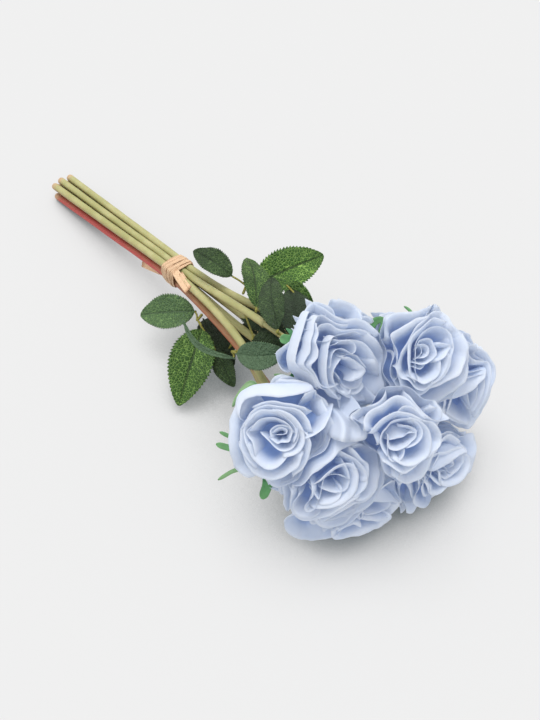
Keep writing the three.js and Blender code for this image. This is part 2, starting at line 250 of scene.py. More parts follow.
def make_piece(name, grids, marks=None, weld=False):
    """A mesh object from grids of points in mm. Each grid gets a map, its columns across and
    its rows along, and each point carries the marks. Welding closes seams and poles."""
    corners, faces, across, carried = [], [], [], {key: [] for key in (marks or {})}
    total = 0
    for number, grid in enumerate(grids):
        rows, columns = grid.shape[:2]
        index = total + np.arange(rows * columns).reshape(rows, columns)
        total += rows * columns
        corners.append(grid.reshape(-1, 3))
        faces.append(np.stack([index[:-1, :-1], index[:-1, 1:], index[1:, 1:], index[1:, :-1]],
                              axis=-1).reshape(-1, 4))
        u, v = np.meshgrid(np.linspace(0, 1, columns), np.linspace(0, 1, rows))
        across.append(np.stack([u, v], axis=-1).reshape(-1, 2))
        for key, values in (marks or {}).items():
            carried[key].append(np.broadcast_to(values[number], (rows, columns)).ravel())
    corners = (np.vstack(corners) + TIE_IN_FRAME) / 1000
    faces = np.vstack(faces)
    mesh = bpy.data.meshes.new(name)
    mesh.from_pydata(corners, [], faces)
    layer = mesh.uv_layers.new(name="along")
    layer.data.foreach_set("uv", np.vstack(across)[faces.ravel()].astype(np.float32).ravel())
    for key, values in carried.items():
        attribute = mesh.attributes.new(key, "FLOAT", "POINT")
        attribute.data.foreach_set("value", np.concatenate(values).astype(np.float32))
    if weld:
        work = bmesh.new()
        work.from_mesh(mesh)
        bmesh.ops.remove_doubles(work, verts=work.verts, dist=1e-7)
        bmesh.ops.recalc_face_normals(work, faces=work.faces)
        work.to_mesh(mesh)
        work.free()
    mesh.shade_smooth()
    piece = bpy.data.objects.new(name, mesh)
    bpy.context.scene.collection.objects.link(piece)
    return piece


def finish_piece(piece, node, material):
    """The piece takes the place of a node of the solids and gets its material."""
    piece.data.materials.append(material)
    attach(piece, "root")
    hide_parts(node)


def rose_frame(rose):
    """A rose's foot, its axis, and the turn that brings +Z onto its axis after its own spin."""
    axis = unit(np.array(rose["facing"], float))
    x, y, z = axis
    lean = np.array([[1 - x * x / (1 + z), -x * y / (1 + z), x],
                     [-x * y / (1 + z), 1 - y * y / (1 + z), y],
                     [-x, -y, z]])
    c, s = math.cos(rose["turn"]), math.sin(rose["turn"])
    spin = np.array([[c, -s, 0], [s, c, 0], [0, 0, 1]])
    foot = np.array(rose["middle"]) - axis * BLOOM_MIDDLE * rose["size"]
    return foot, axis, lean @ spin


def stem_line(rose, number, count):
    """The middle of a stem: from its cut end, through its place in the tie and its halfway
    point, into the calyx along the bloom's axis. The stems fan out a little to their cut ends."""
    foot, axis, _ = rose_frame(rose)
    across, up = rose["slot"]
    y, z = across * STEM_SPACING, up * ROW_SPACING
    cut_height = CUT_HEIGHT + (up + 1) * ROW_SPACING
    end = foot - axis * (CALYX_LENGTH * rose["size"] + 0.6)
    return smooth_line([
        (CUT_END + 2 * (number % 3), y * CUT_SPREAD, cut_height),
        (CUT_END / 2, y * 1.15, (cut_height + TIE_HEIGHT + z) / 2),
        (-BAND_WIDTH, y, TIE_HEIGHT + z - BAND_WIDTH * TIE_SLOPE),
        (BAND_WIDTH, y, TIE_HEIGHT + z + BAND_WIDTH * TIE_SLOPE),
        rose["halfway"],
        end - axis * NECK_RUN,
        end,
    ], count)


def stem_material():
    finish = Finish("moulded_olive_plastic")
    place = finish.object_place()
    mottle = finish.noise(place, 55.0, 3.0, 0.6)
    streak = finish.noise(finish.stretched(place, (30.0, 240.0, 240.0)), 1.0, 3.0, 0.6)
    olive = finish.blend(mottle.step(0.35, 0.7), colour(160, 158, 104), colour(178, 174, 124))
    olive = finish.blend(streak.step(0.45, 0.75) * 0.4, olive, colour(146, 144, 90))
    # The lower side of each stem is painted darker and browner: painted shade under the stems and
    # in the gaps between them.
    underside_shade = finish.mark("underside_shade")
    olive = finish.blend(underside_shade.step(0.15, 0.85) * 0.75, olive, colour(120, 92, 54))
    red = finish.mark("airbrush") * (0.55 + 0.9 * finish.noise(place, 70.0, 3.0, 0.6)).clamped()
    olive = finish.blend(red.clamped(), olive, colour(180, 78, 72))
    tip = finish.mark("cut_tip")
    olive = finish.blend(tip, olive, colour(196, 158, 128))
    grain = finish.noise(finish.stretched(place, (120.0, 900.0, 900.0)), 1.0, 2.0, 0.5)
    relief = finish.bump(grain * 0.6 + mottle * 0.4, 0.0003, 0.5)
    waxy = {"Subsurface Weight": 0.05, "Subsurface Scale": 0.002}
    return finish.surface(finish.skin(olive, 0.42 + 0.2 * mottle, 0.4, relief, waxy))


STEM_MATERIAL = stem_material()
AIRBRUSH = [0.0, 0.1, 0.55, 0.1, 0.35, 1.0, 0.9, 0.3]  # how red each stem's lower side is
REDDEST = 5  # this one is red all round
RED_PLACES, RED_STRENGTHS = [0.0, 0.03, 0.2, 0.36, 0.45, 0.8], [0.2, 0.9, 1.0, 0.9, 0.5, 0.5]

for number, rose in enumerate(ROSES):
    line = stem_line(rose, number, STEM_POINTS)
    share = np.linspace(0, 1, STEM_POINTS)
    length = np.linalg.norm(np.diff(line, axis=0), axis=1).sum()
    collar = int(COLLAR * STEM_POINTS)
    neck_start = collar - NECK_TUCK
    here = share[:collar] * length
    left = here[-1] - here
    # The sleeve is a little uneven, rounded at the cut and flared at the collar.
    radius = STEM_RADIUS * (1 + 0.012 * np.sin(here / 9 + number) + 0.01 * np.sin(here / 3.7))
    radius = radius * np.sqrt(1 - np.clip(1 - here / 2.4, 0, 1) ** 2 * 0.999)
    radius = radius + COLLAR_FLARE * np.exp(-left / 2.2)
    radius[-1] = NECK_RADIUS * 0.9
    radius[0] = 0.0
    sleeve = tube(line[:collar], radius)
    neck_radius = np.full(STEM_POINTS - neck_start, NECK_RADIUS)
    neck_radius[[0, -1]] = 0.0
    neck = tube(line[neck_start:], neck_radius)
    angle = np.linspace(0, 2 * np.pi, STEM_SIDES + 1)[None, :]
    # How far round to the lower side each point is: it sets the painted shade there and the real
    # red of the airbrush.
    below = 0.5 - 0.5 * np.sin(angle)
    red_run = np.interp(share, RED_PLACES, RED_STRENGTHS)
    red = AIRBRUSH[number] * (below ** 1.4 + (number == REDDEST))
    tip = np.clip(1.1 - here / 7, 0, 1)[:, None]
    piece = make_piece(f"rose_stem_{number + 1}", [sleeve, neck], marks=dict(
        underside_shade=[below, below],
        airbrush=[red * red_run[:collar, None], red * red_run[neck_start:, None]],
        cut_tip=[tip, 0.0],
    ), weld=True)
    finish_piece(piece, f"stem_{number + 1}", STEM_MATERIAL)

# ---------------------------------------------------------------- blooms
# Each bloom is some twenty to thirty petals of thin woven fabric, cut, stiffened and glued
# round one another. The rims are thin and wavy, the outer ones roll out, and the blooms press
# on one another and on the table, which bends the petals there.

PETAL_THICKNESS = 0.18
NEIGHBOUR_REACH = 74  # blooms whose middles are nearer than this press on each other
CLEARANCE = 0.3
PRESS_DEPTH = 1.3  # how far from a neighbour the petals begin to bend
TABLE_DEPTH = 2.5  # the same for the table
WALL_WAVE = 0.27  # the waves of the surface between two blooms, in radians per mm
WALL_SWING = 1.8  # and their height
PRESS_RISE = 0.4  # how much of the way that petals are bent back they rise instead,
RISE_MOST = 14  # up to this, in mm
HEART_SPAN = 40  # the radius at which a bloom's rings are centred on its axis again
# Petals inside this radius are darker and bluer: partly the fabric's dye, partly painted shade of
# the bloom's heart.
WHORL_RADIUS = 36  # the radius of the palest petals

# How a petal stands: the angle in degrees between its face and the bloom's axis at the rim, its
# belly as a share of its rim's radius, how far its rim rolls out, its fine waves, how far the
# middle of the belly stands out further, in mm, and how much its rim falls at both ends, where
# it otherwise turns in.
STANCES = dict(
    flap=(70, 0.8, 0.1, 0.05, 0, 1),
    bud=(30, 0.78, 0.1, 0.1, 0, 1),
    wide=(80, 0.72, 0.15, 0.1, 0, 1),
    cup=(64, 0.9, 0.12, 0.15, 0, 1),
    open=(76, 0.93, 0.3, 0.3, 0, 1),
    flat=(84, 1.0, 0.8, 0.4, 0, 0.2),
    free=(76, 0.93, 0.3, 0.2, 0, 0.5),
    lean=(0, 0.95, 0.1, 0.05, 2, 0.1),
    shut=(-38, 0.95, -0.2, 0.1, 16, 0.4),
)

TOWARDS_EYE = np.array([0.459, -0.390, 0.799])  # the upper blooms lap over the others this way
# The first bloom of each pair laps over the second: how far the wall between them leans, and
# how many mm it stands nearer to the second than its room gives.
LAPS = {(0, 1): (0.15, 4), (4, 5): (0.1, 0), (3, 7): (0.3, 0), (1, 2): (0.3, 0),
        (5, 6): (0.35, 0), (4, 0): (0.2, 3), (0, 3): (0.15, 2), (1, 3): (0.15, 0),
        (5, 3): (0.25, 7)}
NO_LAP = (0, 0)


def walls_of(number):
    """The walls that hold a bloom in, each a normal, a distance, a depth, a gap, the direction
    of its waves and their height: first the table, then a wavy plane towards each near
    neighbour, which shares the way between their middles by the room that each takes. Of two
    neighbours the upper one laps over the other, so the plane between them leans."""
    walls = [(-UP, 0.0, TABLE_DEPTH, CLEARANCE, np.zeros(3), 0)]
    here = np.array(ROSES[number]["middle"], float)
    room = ROSES[number]["room"]
    for place, other in enumerate(ROSES):
        across = np.array(other["middle"]) - here
        distance = np.linalg.norm(across)
        if place == number or distance > NEIGHBOUR_REACH:
            continue
        across /= distance
        middle = here + across * distance * room / (room + other["room"])
        lap, shift = np.subtract(LAPS.get((number, place), NO_LAP),
                                 LAPS.get((place, number), NO_LAP))
        across = unit(across - lap * TOWARDS_EYE)
        sense = 1 if number < place else -1
        along = sense * np.cross(across, TOWARDS_EYE) * WALL_WAVE
        walls.append((across, across @ middle + shift, PRESS_DEPTH, CLEARANCE, along,
                      sense * WALL_SWING))
    return walls


def pressed(points, walls, gap, rise=0.0):
    """Points bent back by the walls. A wall stands at far + swing * sin(point . along). Where a
    point comes nearer to it than its depth, the distance left is
    gap + depth * exp(-x / depth), with x how far it is past that depth. What is bent back by b
    also rises by the vector rise, times RISE_MOST * (1 - exp(-b / RISE_MOST))."""
    for normal, far, depth, bend, along, swing in walls:
        place = far + swing * np.sin(points @ along)
        past = np.maximum(points @ normal - place + depth + gap + bend, 0)
        back = past - depth * (1 - np.exp(-past / depth))
        points = points - back[..., None] * normal
        points = points + (RISE_MOST * (1 - np.exp(-back / RISE_MOST)))[..., None] * rise
    return points


def ease(share):
    """Rises smoothly from 0 to 1."""
    share = np.clip(share, 0, 1)
    return share * share * (3 - 2 * share)


def reach_at(azimuth, rose, walls, turned, shares):
    """How far the rings go at azimuths in degrees: by the bloom's own list of azimuth and share,
    and up to a quarter further where a neighbour's wall is near along the spoke, to close the
    gap to it."""
    far_off, least_lean = 200.0, 0.15
    angle = np.radians(azimuth)
    spokes = np.stack([np.cos(angle), np.sin(angle), 0 * angle], axis=-1) @ turned.T
    nearest = np.full(len(azimuth), far_off)
    for normal, far, *_ in walls[1:]:
        lean = spokes @ normal
        distance = (far - normal @ np.array(rose["middle"], float)) / np.maximum(lean, least_lean)
        nearest = np.minimum(nearest, np.where(lean > least_lean, distance, far_off))
    angles, parts = zip(*shares)
    return np.interp(azimuth, angles, parts, period=360) * (1 + 0.25 * ease((72 - nearest) / 28))


SHOULDER = [(0.45, 0.3), (0.8, 1.2), (0.95, 2.6)]  # on and down, as shares of its reach
TURN_IN = 0.6


def shouldered(rim, fall):
    """A rim with three more points at each end, where it goes on and falls. The less it falls,
    the more it turns in towards the axis instead, by up to TURN_IN."""
    reach = 1.2 + 0.13 * np.hypot(rim[:, 0], rim[:, 1]).mean()
    ends = []
    for here, before in ((rim[0], rim[1]), (rim[-1], rim[-2])):
        inwards = -here * (1, 1, 0) / max(np.hypot(here[0], here[1]), 1)
        side = fall * UP - TURN_IN * (1 - fall) * inwards
        on = unit(here - before)
        ends.append([here + reach * (on * a - side * b) for a, b in SHOULDER])
    return np.vstack([ends[0][::-1], rim, ends[1]])


def petal(points, stance, heart, phase, rows=22):
    """A petal between its root and its rim, which runs through the points. Each line from root
    to rim is the cubic of four corners: a root a tenth of the rim's radius out, the belly a
    tenth of the way up, a point 0.4 of the length back from the rim along the flare, and the
    rim. The belly narrows towards both ends, with s from -1 to 1 between them, by
    1 - 0.6 * (1 - fall) * s^6. In the last fifth, w = (v - 0.82) / 0.18, the petal rolls by
    roll * w^2 outwards and down. It waves along the rim by waves * v^3, and its edge is frayed
    by v^8 times a fine wave. Out is away from the bloom's heart, and up along its axis."""
    flare, belly, roll, waves, bulge, fall = stance
    rim = shouldered(points, fall)
    length = np.linalg.norm(np.diff(rim, axis=0), axis=1).sum()
    columns = int(np.clip(length / 1.2, 24, 64))
    rim = smooth_line(rim, columns)
    spread = rim - (*heart, 0)
    spread[:, 2] = 0
    radius = np.linalg.norm(spread, axis=1, keepdims=True)
    out = spread / np.maximum(radius, 0.5)
    size = radius.mean()
    low = rim[:, 2].mean() - np.clip(35 - size, 15, 30) if size < 37 else 0
    foot = np.array([0.3 * heart[0], 0.3 * heart[1], max(low, np.clip(15 - 0.4 * size, 1, 12))])
    rolling = roll * (0.8 * out - UP)
    rim = rim - rolling
    root = foot + out * np.maximum(1, 0.1 * radius)
    bulge = bulge * np.sin(np.linspace(0, np.pi, columns))[:, None]
    narrow = 1 - 0.6 * (1 - fall) * np.linspace(-1, 1, columns)[:, None] ** 6
    full = foot + out * (radius * belly * narrow + bulge) + 0.1 * (rim - foot) * UP
    slope = math.cos(math.radians(flare)) * UP + math.sin(math.radians(flare)) * out
    back = 0.4 * np.linalg.norm(rim - root, axis=1, keepdims=True)
    neck = rim - back * slope + 0.4 * bulge * out
    v = np.linspace(0, 1, rows)[:, None, None]
    spots = (root * (1 - v) ** 3 + 3 * full * v * (1 - v) ** 2 + 3 * neck * v ** 2 * (1 - v)
             + rim * v ** 3)
    w = np.clip((v - 0.82) / 0.18, 0, 1)
    along = np.linspace(0, length, columns)[:, None]
    ripple = np.sin(along / 3.3 + phase) + 0.5 * np.sin(along / 1.7 + 2.3 * phase)
    frayed = 0.07 * np.sin(along / 0.62 + phase) + 0.05 * np.sin(along / 0.37)
    return spots + w ** 2 * rolling + waves * v ** 3 * ripple * out + v ** 8 * frayed * UP


def rim_at(radius, height, azimuth, dice):
    """A rim round the axis: nine points over 108 degrees, u from -1 to 1, that fall by
    8 * |u|^2.5 towards both ends, with its radius and its height a little uneven."""
    u = np.linspace(-1, 1, 9)
    angle = azimuth + 0.3 * np.pi * u
    away = radius * (1 + 0.035 * np.sin(dice.uniform(3, 6) * u + dice.uniform(0, 6)))
    tall = height - 8 * np.abs(u) ** 2.5 + 1.3 * np.sin(dice.uniform(2, 5) * u + dice.uniform(0, 6))
    tall = tall + dice.uniform(-1.2, 1.2)
    return np.stack([away * np.cos(angle), away * np.sin(angle), tall], axis=-1)


def thicken(piece, thickness):
    """The wall of a thin piece, in mm, half of it on each side."""
    wall = piece.modifiers.new("wall", "SOLIDIFY")
    wall.thickness = thickness / 1000
    wall.offset = 0


def petal_material():
    finish = Finish("pale_blue_petal_fabric")
    _, along = finish.uv()
    place = finish.object_place()
    # Each petal is bluer and darker towards its root, and the inner whorls more so than the outer:
    # partly the fabric's dye, partly painted shade of the bloom's hollows. Towards the rim it turns
    # pale.
    depth = finish.mark("whorl")
    rim = along.step(0.35, 0.95)
    cloud = finish.noise(place, 60.0, 3.0, 0.55)
    pale = finish.blend(cloud.step(0.3, 0.7), colour(231, 238, 248), colour(238, 242, 248))
    deep = finish.blend(depth, colour(194, 214, 244), colour(216, 228, 246))
    shade = finish.blend(depth, colour(124, 160, 220), colour(160, 190, 234))
    root = finish.blend(along.step(0.28, 0.64), shade, deep)
    tint = finish.blend(rim, root, pale)
    # A thin paler line along the very rim: a painted highlight, as of light shining through the
    # thin edge.
    edge = along.step(0.97, 1.0)
    tint = finish.blend(edge * 0.1, tint, colour(246, 249, 253))
    threads = {"Vector": finish.stretched(finish.map_place(), (170.0, 170.0, 1.0)), "Scale": 1.0}
    warp = finish.node("ShaderNodeTexWave", dict(bands_direction="X"), threads)
    weft = finish.node("ShaderNodeTexWave", dict(bands_direction="Y"), threads)
    height = warp * 0.5 + weft * 0.5 + 3.0 * finish.noise(place, 260.0, 2.0, 0.5)
    normal = finish.bump(height, 0.00012, 0.5)
    # The fabric glows faintly in its deep colour: painted light that lifts the shaded depths of the
    # bloom.
    cloth = finish.skin(tint, 0.72 + 0.12 * cloud, 0.25, normal, {
        "Sheen Weight": 0.25, "Sheen Roughness": 0.5,
        "Emission Color": deep, "Emission Strength": 0.07})
    through = finish.node("ShaderNodeBsdfTranslucent", sockets={
        "Color": colour(208, 222, 243), "Normal": normal})
    return finish.surface(finish.node("ShaderNodeMixShader", sockets={
        0: 0.32, 1: cloth, 2: through}))


PETAL_MATERIAL = petal_material()

# The two rings of petals under the others: the radius and height of their rims, in mm.
RINGS = [(34.5, 24.0), (36.0, 15.0)]

# Each bloom: its seed, where its heart sits in the plane across its axis, in mm, how far its
# rings reach, as azimuth in degrees from its own X axis and share, and its other petals from
# the heart outwards, as stance and rim. A rim is a list of points, each x,y,height in the
# bloom's own frame, in half millimetres.
BLOOMS = [
    dict(seed=1, heart=(0, 0),
         reach=[(0, 0.9), (60, 0.8), (100, 0.5), (210, 0.5), (240, 0.8), (290, 0.95)], petals=[
    ("flap", [-22,24,91, -16,23,91, -9,19,90, 2,11,89, 14,-2,89, 7,-9,89, -7,-11,89]),
    ("bud", [-21,-7,82, -16,-18,83, -5,-24,83, 8,-24,83, 14,-19,82, 15,-11,82]),
    ("bud", [-26,-3,85, -21,-16,85, -13,-25,85, -3,-31,85, 6,-31,85, 14,-25,85]),
    ("lean", [-14,-28,87, -24,-21,87, -31,-11,86, -34,-2,86, -33,8,86, -28,16,87, -22,22,87]),
    ("bud", [-39,15,87, -37,26,86, -32,32,85, -25,35,87, -18,32,89, -11,26,91, -1,21,90, 8,11,89,
        14,3,89]),
    ("bud", [-29,40,83, -23,43,84, -14,42,86, -6,39,88, -3,33,90, -5,27,91, -11,26,91]),
    ("wide", [-19,-27,86, -6,-36,85, 13,-45,81, 35,-50,74, 42,-45,79, 48,-37,78, 54,-28,71,
        40,-10,83, 32,6,86]),
    ("cup", [41,-14,83, 37,1,85, 30,13,86, 22,25,86, 13,33,85, 1,39,84, -11,42,83, -23,43,80]),
    ("lean", [-30,-32,85, -38,-18,85, -42,-3,85, -43,12,84, -40,27,82, -36,38,79, -30,45,77]),
    ("bud", [-33,44,77, -26,48,77, -13,49,80, 2,49,81, 8,46,83]),
    ("wide", [6,-50,78, 3,-55,74, -3,-56,73, -11,-53,75, -22,-43,79, -29,-34,82, -35,-23,83]),
    ("wide", [39,-47,80, 48,-38,83, 55,-27,82, 59,-14,79, 61,-3,73, 52,13,75, 39,29,80, 27,40,79]),
    ("lean", [-46,-13,82, -56,-9,75, -62,-2,71, -62,7,70, -58,16,73, -51,24,76, -48,33,74,
        -48,42,69, -42,50,66, -40,58,60]),
    ("cup", [-40,56,60, -34,59,60, -25,60,65, -19,55,73, -7,52,77, 13,49,78, 30,41,78]),
    ("lean", [-50,-16,79, -60,-12,72, -65,-4,67, -66,8,65, -62,20,66, -56,31,68, -52,42,64,
        -46,51,61, -41,60,56, -36,65,53]),
    ("cup", [-36,65,50, -28,68,52, -23,65,59, -17,60,68, -5,57,73]),
    ("lean", [-61,-14,67, -67,-1,60, -69,16,56, -64,33,54, -55,49,50, -47,59,45, -39,67,40]),
    ("flat", [-40,66,34, -32,72,27, -24,76,27, -16,76,33, -10,74,43]),
    ("open", [-19,73,49, -14,67,62, -3,63,70, 18,59,71, 32,51,73, 44,37,75]),
    ("open", [-15,67,48, -3,75,35, 7,77,29, 12,75,34, 29,69,37, 38,63,40, 38,57,48, 31,52,58]),
    ("free", [-6,-72,45, -18,-73,60, -18,-75,72, -17,-71,84, -4,-73,77, 8,-72,66, 22,-70,55,
        20,-58,69, 27,-55,75, 34,-51,85]),
    ("free", [-27,-78,60, -48,-70,96, -49,-71,109, -48,-69,123, -27,-77,117, -19,-74,126]),
    ("flat", [-59,39,37, -67,31,32, -73,23,24, -77,13,19, -78,3,18, -76,-5,24, -73,-6,33, -69,0,39,
        -66,7,43, -63,3,47]),
    ]),
    dict(seed=2, heart=(0, 0), reach=[(0, 0.95), (90, 0.85), (180, 0.8), (270, 0.85)], petals=[
    ("bud", [-8,9,85, -5,4,83, -9,-5,85, -13,-8,86]),
    ("bud", [-10,11,86, -2,12,85, 4,9,84, 6,4,84, 4,-3,83, -2,-7,84, -10,-8,85]),
    ("bud", [-13,9,86, -10,16,86, -4,19,86, 3,20,86, 9,18,86, 12,11,86, 15,5,86, 16,-2,86, 13,-7,86,
        8,-11,85, 0,-16,86, -8,-17,86, -15,-15,86]),
    ("bud", [-15,-21,83, -7,-23,83, -1,-18,82]),
    ("bud", [-13,-35,87, -16,-27,89, -16,-13,88, -16,0,88, -16,10,88, -13,18,88, -8,25,89, -2,30,89,
        6,35,88, 17,37,86, 27,35,84, 35,29,84, 39,21,84, 40,11,85]),
    ("cup", [-16,-41,83, -22,-33,84, -26,-19,87, -27,-5,87, -26,9,87, -22,20,87, -13,30,87,
        -2,38,85, 8,46,81, 15,50,77, 23,49,75, 32,46,74]),
    ("cup", [-21,-35,84, -13,-39,84, -6,-43,83, -2,-44,83, 7,-40,84, 15,-35,85, 21,-27,86,
        22,-18,87, 21,-10,86]),
    ("cup", [18,-11,88, 27,-6,89, 33,3,88, 37,10,86, 30,12,89, 21,14,89]),
    ("cup", [10,-44,82, 19,-39,83, 26,-30,84, 31,-22,84, 34,-14,85, 35,-3,86]),
    ("cup", [11,-40,83, 7,-47,80, 0,-52,77, -10,-51,77, -18,-45,80, -24,-39,81, -34,-35,79,
        -39,-26,81, -40,-15,83, -38,-5,85, -33,4,86, -27,14,87, -21,25,86, -15,34,85, -6,42,83,
        3,48,80]),
    ("cup", [8,-47,80, 22,-37,83, 30,-29,83, 36,-18,84, 39,-4,84, 42,10,83, 40,24,81]),
    ("open", [-40,-26,80, -37,-37,77, -32,-47,73, -23,-57,69, -14,-62,67, -6,-61,70, 1,-56,74,
        8,-49,79]),
    ("open", [9,-50,78, 25,-43,78, 39,-37,76, 53,-31,70, 63,-18,64, 71,-2,57, 72,14,59, 67,28,55]),
    ("open", [-40,-30,80, -43,-22,82, -48,-12,81, -53,-1,78, -54,10,76, -51,21,77, -43,29,79,
        -34,35,81, -21,43,82, -9,48,81, 5,52,79]),
    ("open", [-54,-5,70, -52,-24,67, -48,-40,62, -40,-46,64, -31,-52,65, -25,-54,65]),
    ("open", [-54,28,62, -52,43,54, -44,53,52, -31,57,57, -12,59,63, 9,64,57, 21,69,47]),
    ("open", [8,53,59, 21,66,42, 37,75,14, 35,72,36, 44,65,22, 36,52,51]),
    ("open", [2,48,74, 13,56,66, 25,61,58, 38,61,49, 44,55,52, 49,44,57, 61,34,53, 69,24,55,
        72,14,55]),
    ]),
    dict(seed=3, heart=(0, 0), reach=[(0, 0.85), (90, 0.9), (180, 0.9), (270, 0.85)], petals=[
    ("shut", [-17,15,89, -9,15,88, 0,18,88, 8,22,89, 17,28,89, 24,33,85, 33,37,81]),
    ("bud", [-21,-11,87, -12,-20,87, -2,-28,87, 10,-37,84, 18,-37,83, 17,-19,87, 15,-5,86, 12,8,85,
        9,18,86]),
    ("bud", [15,-10,86, 19,-5,86, 22,4,86, 23,17,87, 23,29,85]),
    ("cup", [34,42,75, 24,44,78, 15,45,80, 5,45,82, 0,41,84, -7,32,87, -13,22,87, -16,12,86,
        -19,-3,86, -21,-11,87]),
    ("cup", [-6,43,83, -11,36,85, -18,30,86, -25,19,87, -26,4,87, -27,-8,87, -20,-18,87, -12,-26,87,
        1,-36,85, 19,-49,76]),
    ("cup", [21,-16,87, 27,-3,87, 32,12,86, 35,24,83, 35,35,78]),
    ("cup", [15,48,74, 25,47,72, 33,45,70, 37,40,71, 32,38,75]),
    ("open", [26,-26,85, 33,-10,86, 39,6,84, 44,23,79, 47,39,70, 45,50,61, 35,56,63, 24,60,66]),
    ("open", [19,72,42, 30,67,45, 42,60,46, 51,50,48, 57,39,51, 60,26,56, 57,16,63, 50,6,70,
        46,-8,73, 42,-26,71, 40,-42,64, 34,-51,66]),
    ("open", [-19,41,82, -30,36,81, -40,31,78, -46,22,78, -43,9,83, -34,-1,86, -24,-12,87]),
    ("open", [-12,-29,81, -8,-46,75, 5,-61,66, 13,-60,69, 20,-58,75, 30,-53,71]),
    ]),
    dict(seed=4, heart=(0, 0),
         reach=[(0, 0.85), (90, 0.9), (150, 0.9), (200, 0.72), (240, 0.75), (290, 0.9)], petals=[
    ("bud", [11,-9,84, 18,-2,84, 24,4,85, 24,13,85, 19,18,85, 12,21,85, 5,22,84]),
    ("shut", [-12,1,81, -2,2,79, 6,4,80, 12,9,82, 17,10,82, 23,10,83]),
    ("bud", [-17,6,86, -17,-3,86, -15,-10,86, -10,-13,86, -3,-14,85, 4,-12,85, 12,-8,85]),
    ("bud", [-16,-14,84, -16,-20,85, -13,-27,85, -7,-30,85, 0,-29,85, 6,-23,85, 8,-15,84]),
    ("bud", [14,-10,86, 23,-6,87, 30,1,87, 33,10,86, 31,19,85, 23,27,85]),
    ("bud", [-19,-19,89, -25,-10,89, -28,1,89, -26,12,89, -19,20,89, -12,28,89, -3,31,89, 7,32,88,
        17,31,87]),
    ("cup", [-5,-29,87, 4,-34,86, 14,-37,84, 26,-35,83, 36,-29,81, 44,-21,79, 47,-11,80, 47,2,81,
        43,13,82, 37,21,83, 28,28,84, 18,32,85]),
    ("cup", [-40,15,85, -33,24,86, -23,33,86, -12,39,86, -2,41,85, 8,40,86, 19,37,85, 31,30,85]),
    ("cup", [-4,40,84, 5,47,81, 12,48,79, 19,46,79, 28,40,79, 36,32,80]),
    ("cup", [-25,-28,85, -16,-33,85, -7,-40,84, 2,-46,82, 10,-48,79, 18,-43,81, 26,-37,82]),
    ("open", [-48,20,77, -48,28,74, -44,37,73, -38,43,73, -25,48,75, -14,56,73, -5,61,70, 1,62,69,
        9,59,71, 19,52,74, 28,43,77, 41,32,77]),
    ("open", [-65,24,52, -62,32,51, -56,38,53, -49,44,56, -37,47,63, -26,52,64, -17,61,60]),
    ("open", [36,28,82, 48,24,75, 58,15,71, 65,4,65, 66,-6,63, 60,-14,69, 53,-20,73, 46,-26,76]),
    ("open", [-2,-56,74, 7,-62,68, 18,-68,57, 28,-66,55, 38,-60,57, 45,-49,63, 49,-36,70,
        51,-24,74]),
    ("open", [-26,-30,76, -20,-43,72, -10,-55,66, 0,-57,65, 8,-52,68]),
    ("open", [20,57,67, 28,47,71, 39,36,72, 48,27,71, 64,22,57, 81,22,42, 73,30,33, 56,41,55]),
    ("open", [-61,24,53, -53,23,60, -46,21,66, -38,15,71, -33,7,74, -30,-3,75]),
    ]),
    dict(seed=5, heart=(3, -1), reach=[(0, 0.78), (90, 0.85), (180, 0.9), (270, 0.85)], petals=[
    ("bud", [-7,2,84, -4,5,84, 2,8,84, 8,7,85, 12,4,85, 11,0,85, 4,-2,83, -2,-2,83]),
    ("bud", [-10,-4,85, -11,3,85, -8,7,85, -3,10,85, 3,11,85, 11,10,86, 16,7,86, 18,2,86, 16,-6,86,
        14,-11,86, 8,-12,86, 3,-12,85, -1,-14,85, -6,-11,85, -10,-7,85]),
    ("bud", [-35,6,87, -29,14,89, -22,19,89, -13,21,89, -3,20,88, 7,16,88, 15,10,88, 19,4,88]),
    ("bud", [-21,-2,84, -14,-9,84, -5,-18,84, 3,-23,84, 11,-23,85, 19,-19,85, 24,-11,85, 26,-3,85,
        24,6,85]),
    ("bud", [21,-10,86, 24,-1,87, 22,8,87, 15,17,86, 6,24,87, -3,29,87]),
    ("bud", [-31,-28,81, -32,-21,83, -35,-11,83, -40,-4,82, -42,2,81, -37,7,83]),
    ("bud", [-35,-31,83, -38,-23,84, -42,-15,84, -45,-5,83, -46,4,83, -42,12,85, -33,22,86]),
    ("cup", [-41,-17,82, -36,-30,81, -28,-40,79, -17,-47,78, -5,-46,81, 6,-38,84, 12,-30,86]),
    ("cup", [10,-31,86, 20,-28,86, 28,-23,85, 34,-12,85, 34,-3,86, 29,7,87, 22,17,87, 11,26,87,
        -3,30,87]),
    ("cup", [33,3,88, 27,15,89, 17,24,89, 4,30,89, -11,31,88, -24,30,87, -34,24,85, -42,16,84,
        -48,8,81]),
    ("cup", [-38,21,82, -48,9,79, -51,-7,77, -50,-20,76, -43,-33,75, -35,-43,74]),
    ("cup", [43,5,81, 38,18,81, 30,28,81, 20,33,82, 7,34,84, -5,36,83, -16,37,82, -28,33,81,
        -37,26,80, -44,14,79]),
    ("cup", [36,32,77, 33,34,78, 22,37,81, 8,39,82, -5,42,81, -18,41,80, -30,36,79]),
    ("shut", [-52,27,68, -49,37,65, -44,43,65, -36,46,68, -28,48,70, -12,47,76, 1,46,77, 14,48,74,
        27,50,69, 38,53,61, 49,55,48]),
    ("open", [37,52,67, 49,56,50, 60,55,27, 68,45,26, 68,33,46, 65,19,61, 59,8,71, 49,-1,79,
        39,-6,84]),
    ("flat", [-45,55,55, -53,45,57, -60,30,59, -66,16,59, -68,-1,59, -67,-21,56, -65,-37,48,
        -59,-51,36, -48,-60,40]),
    ("open", [-51,-20,75, -46,-35,72, -37,-50,68, -27,-59,64, -13,-62,67, 2,-59,71, 15,-52,75,
        25,-43,79, 30,-31,83]),
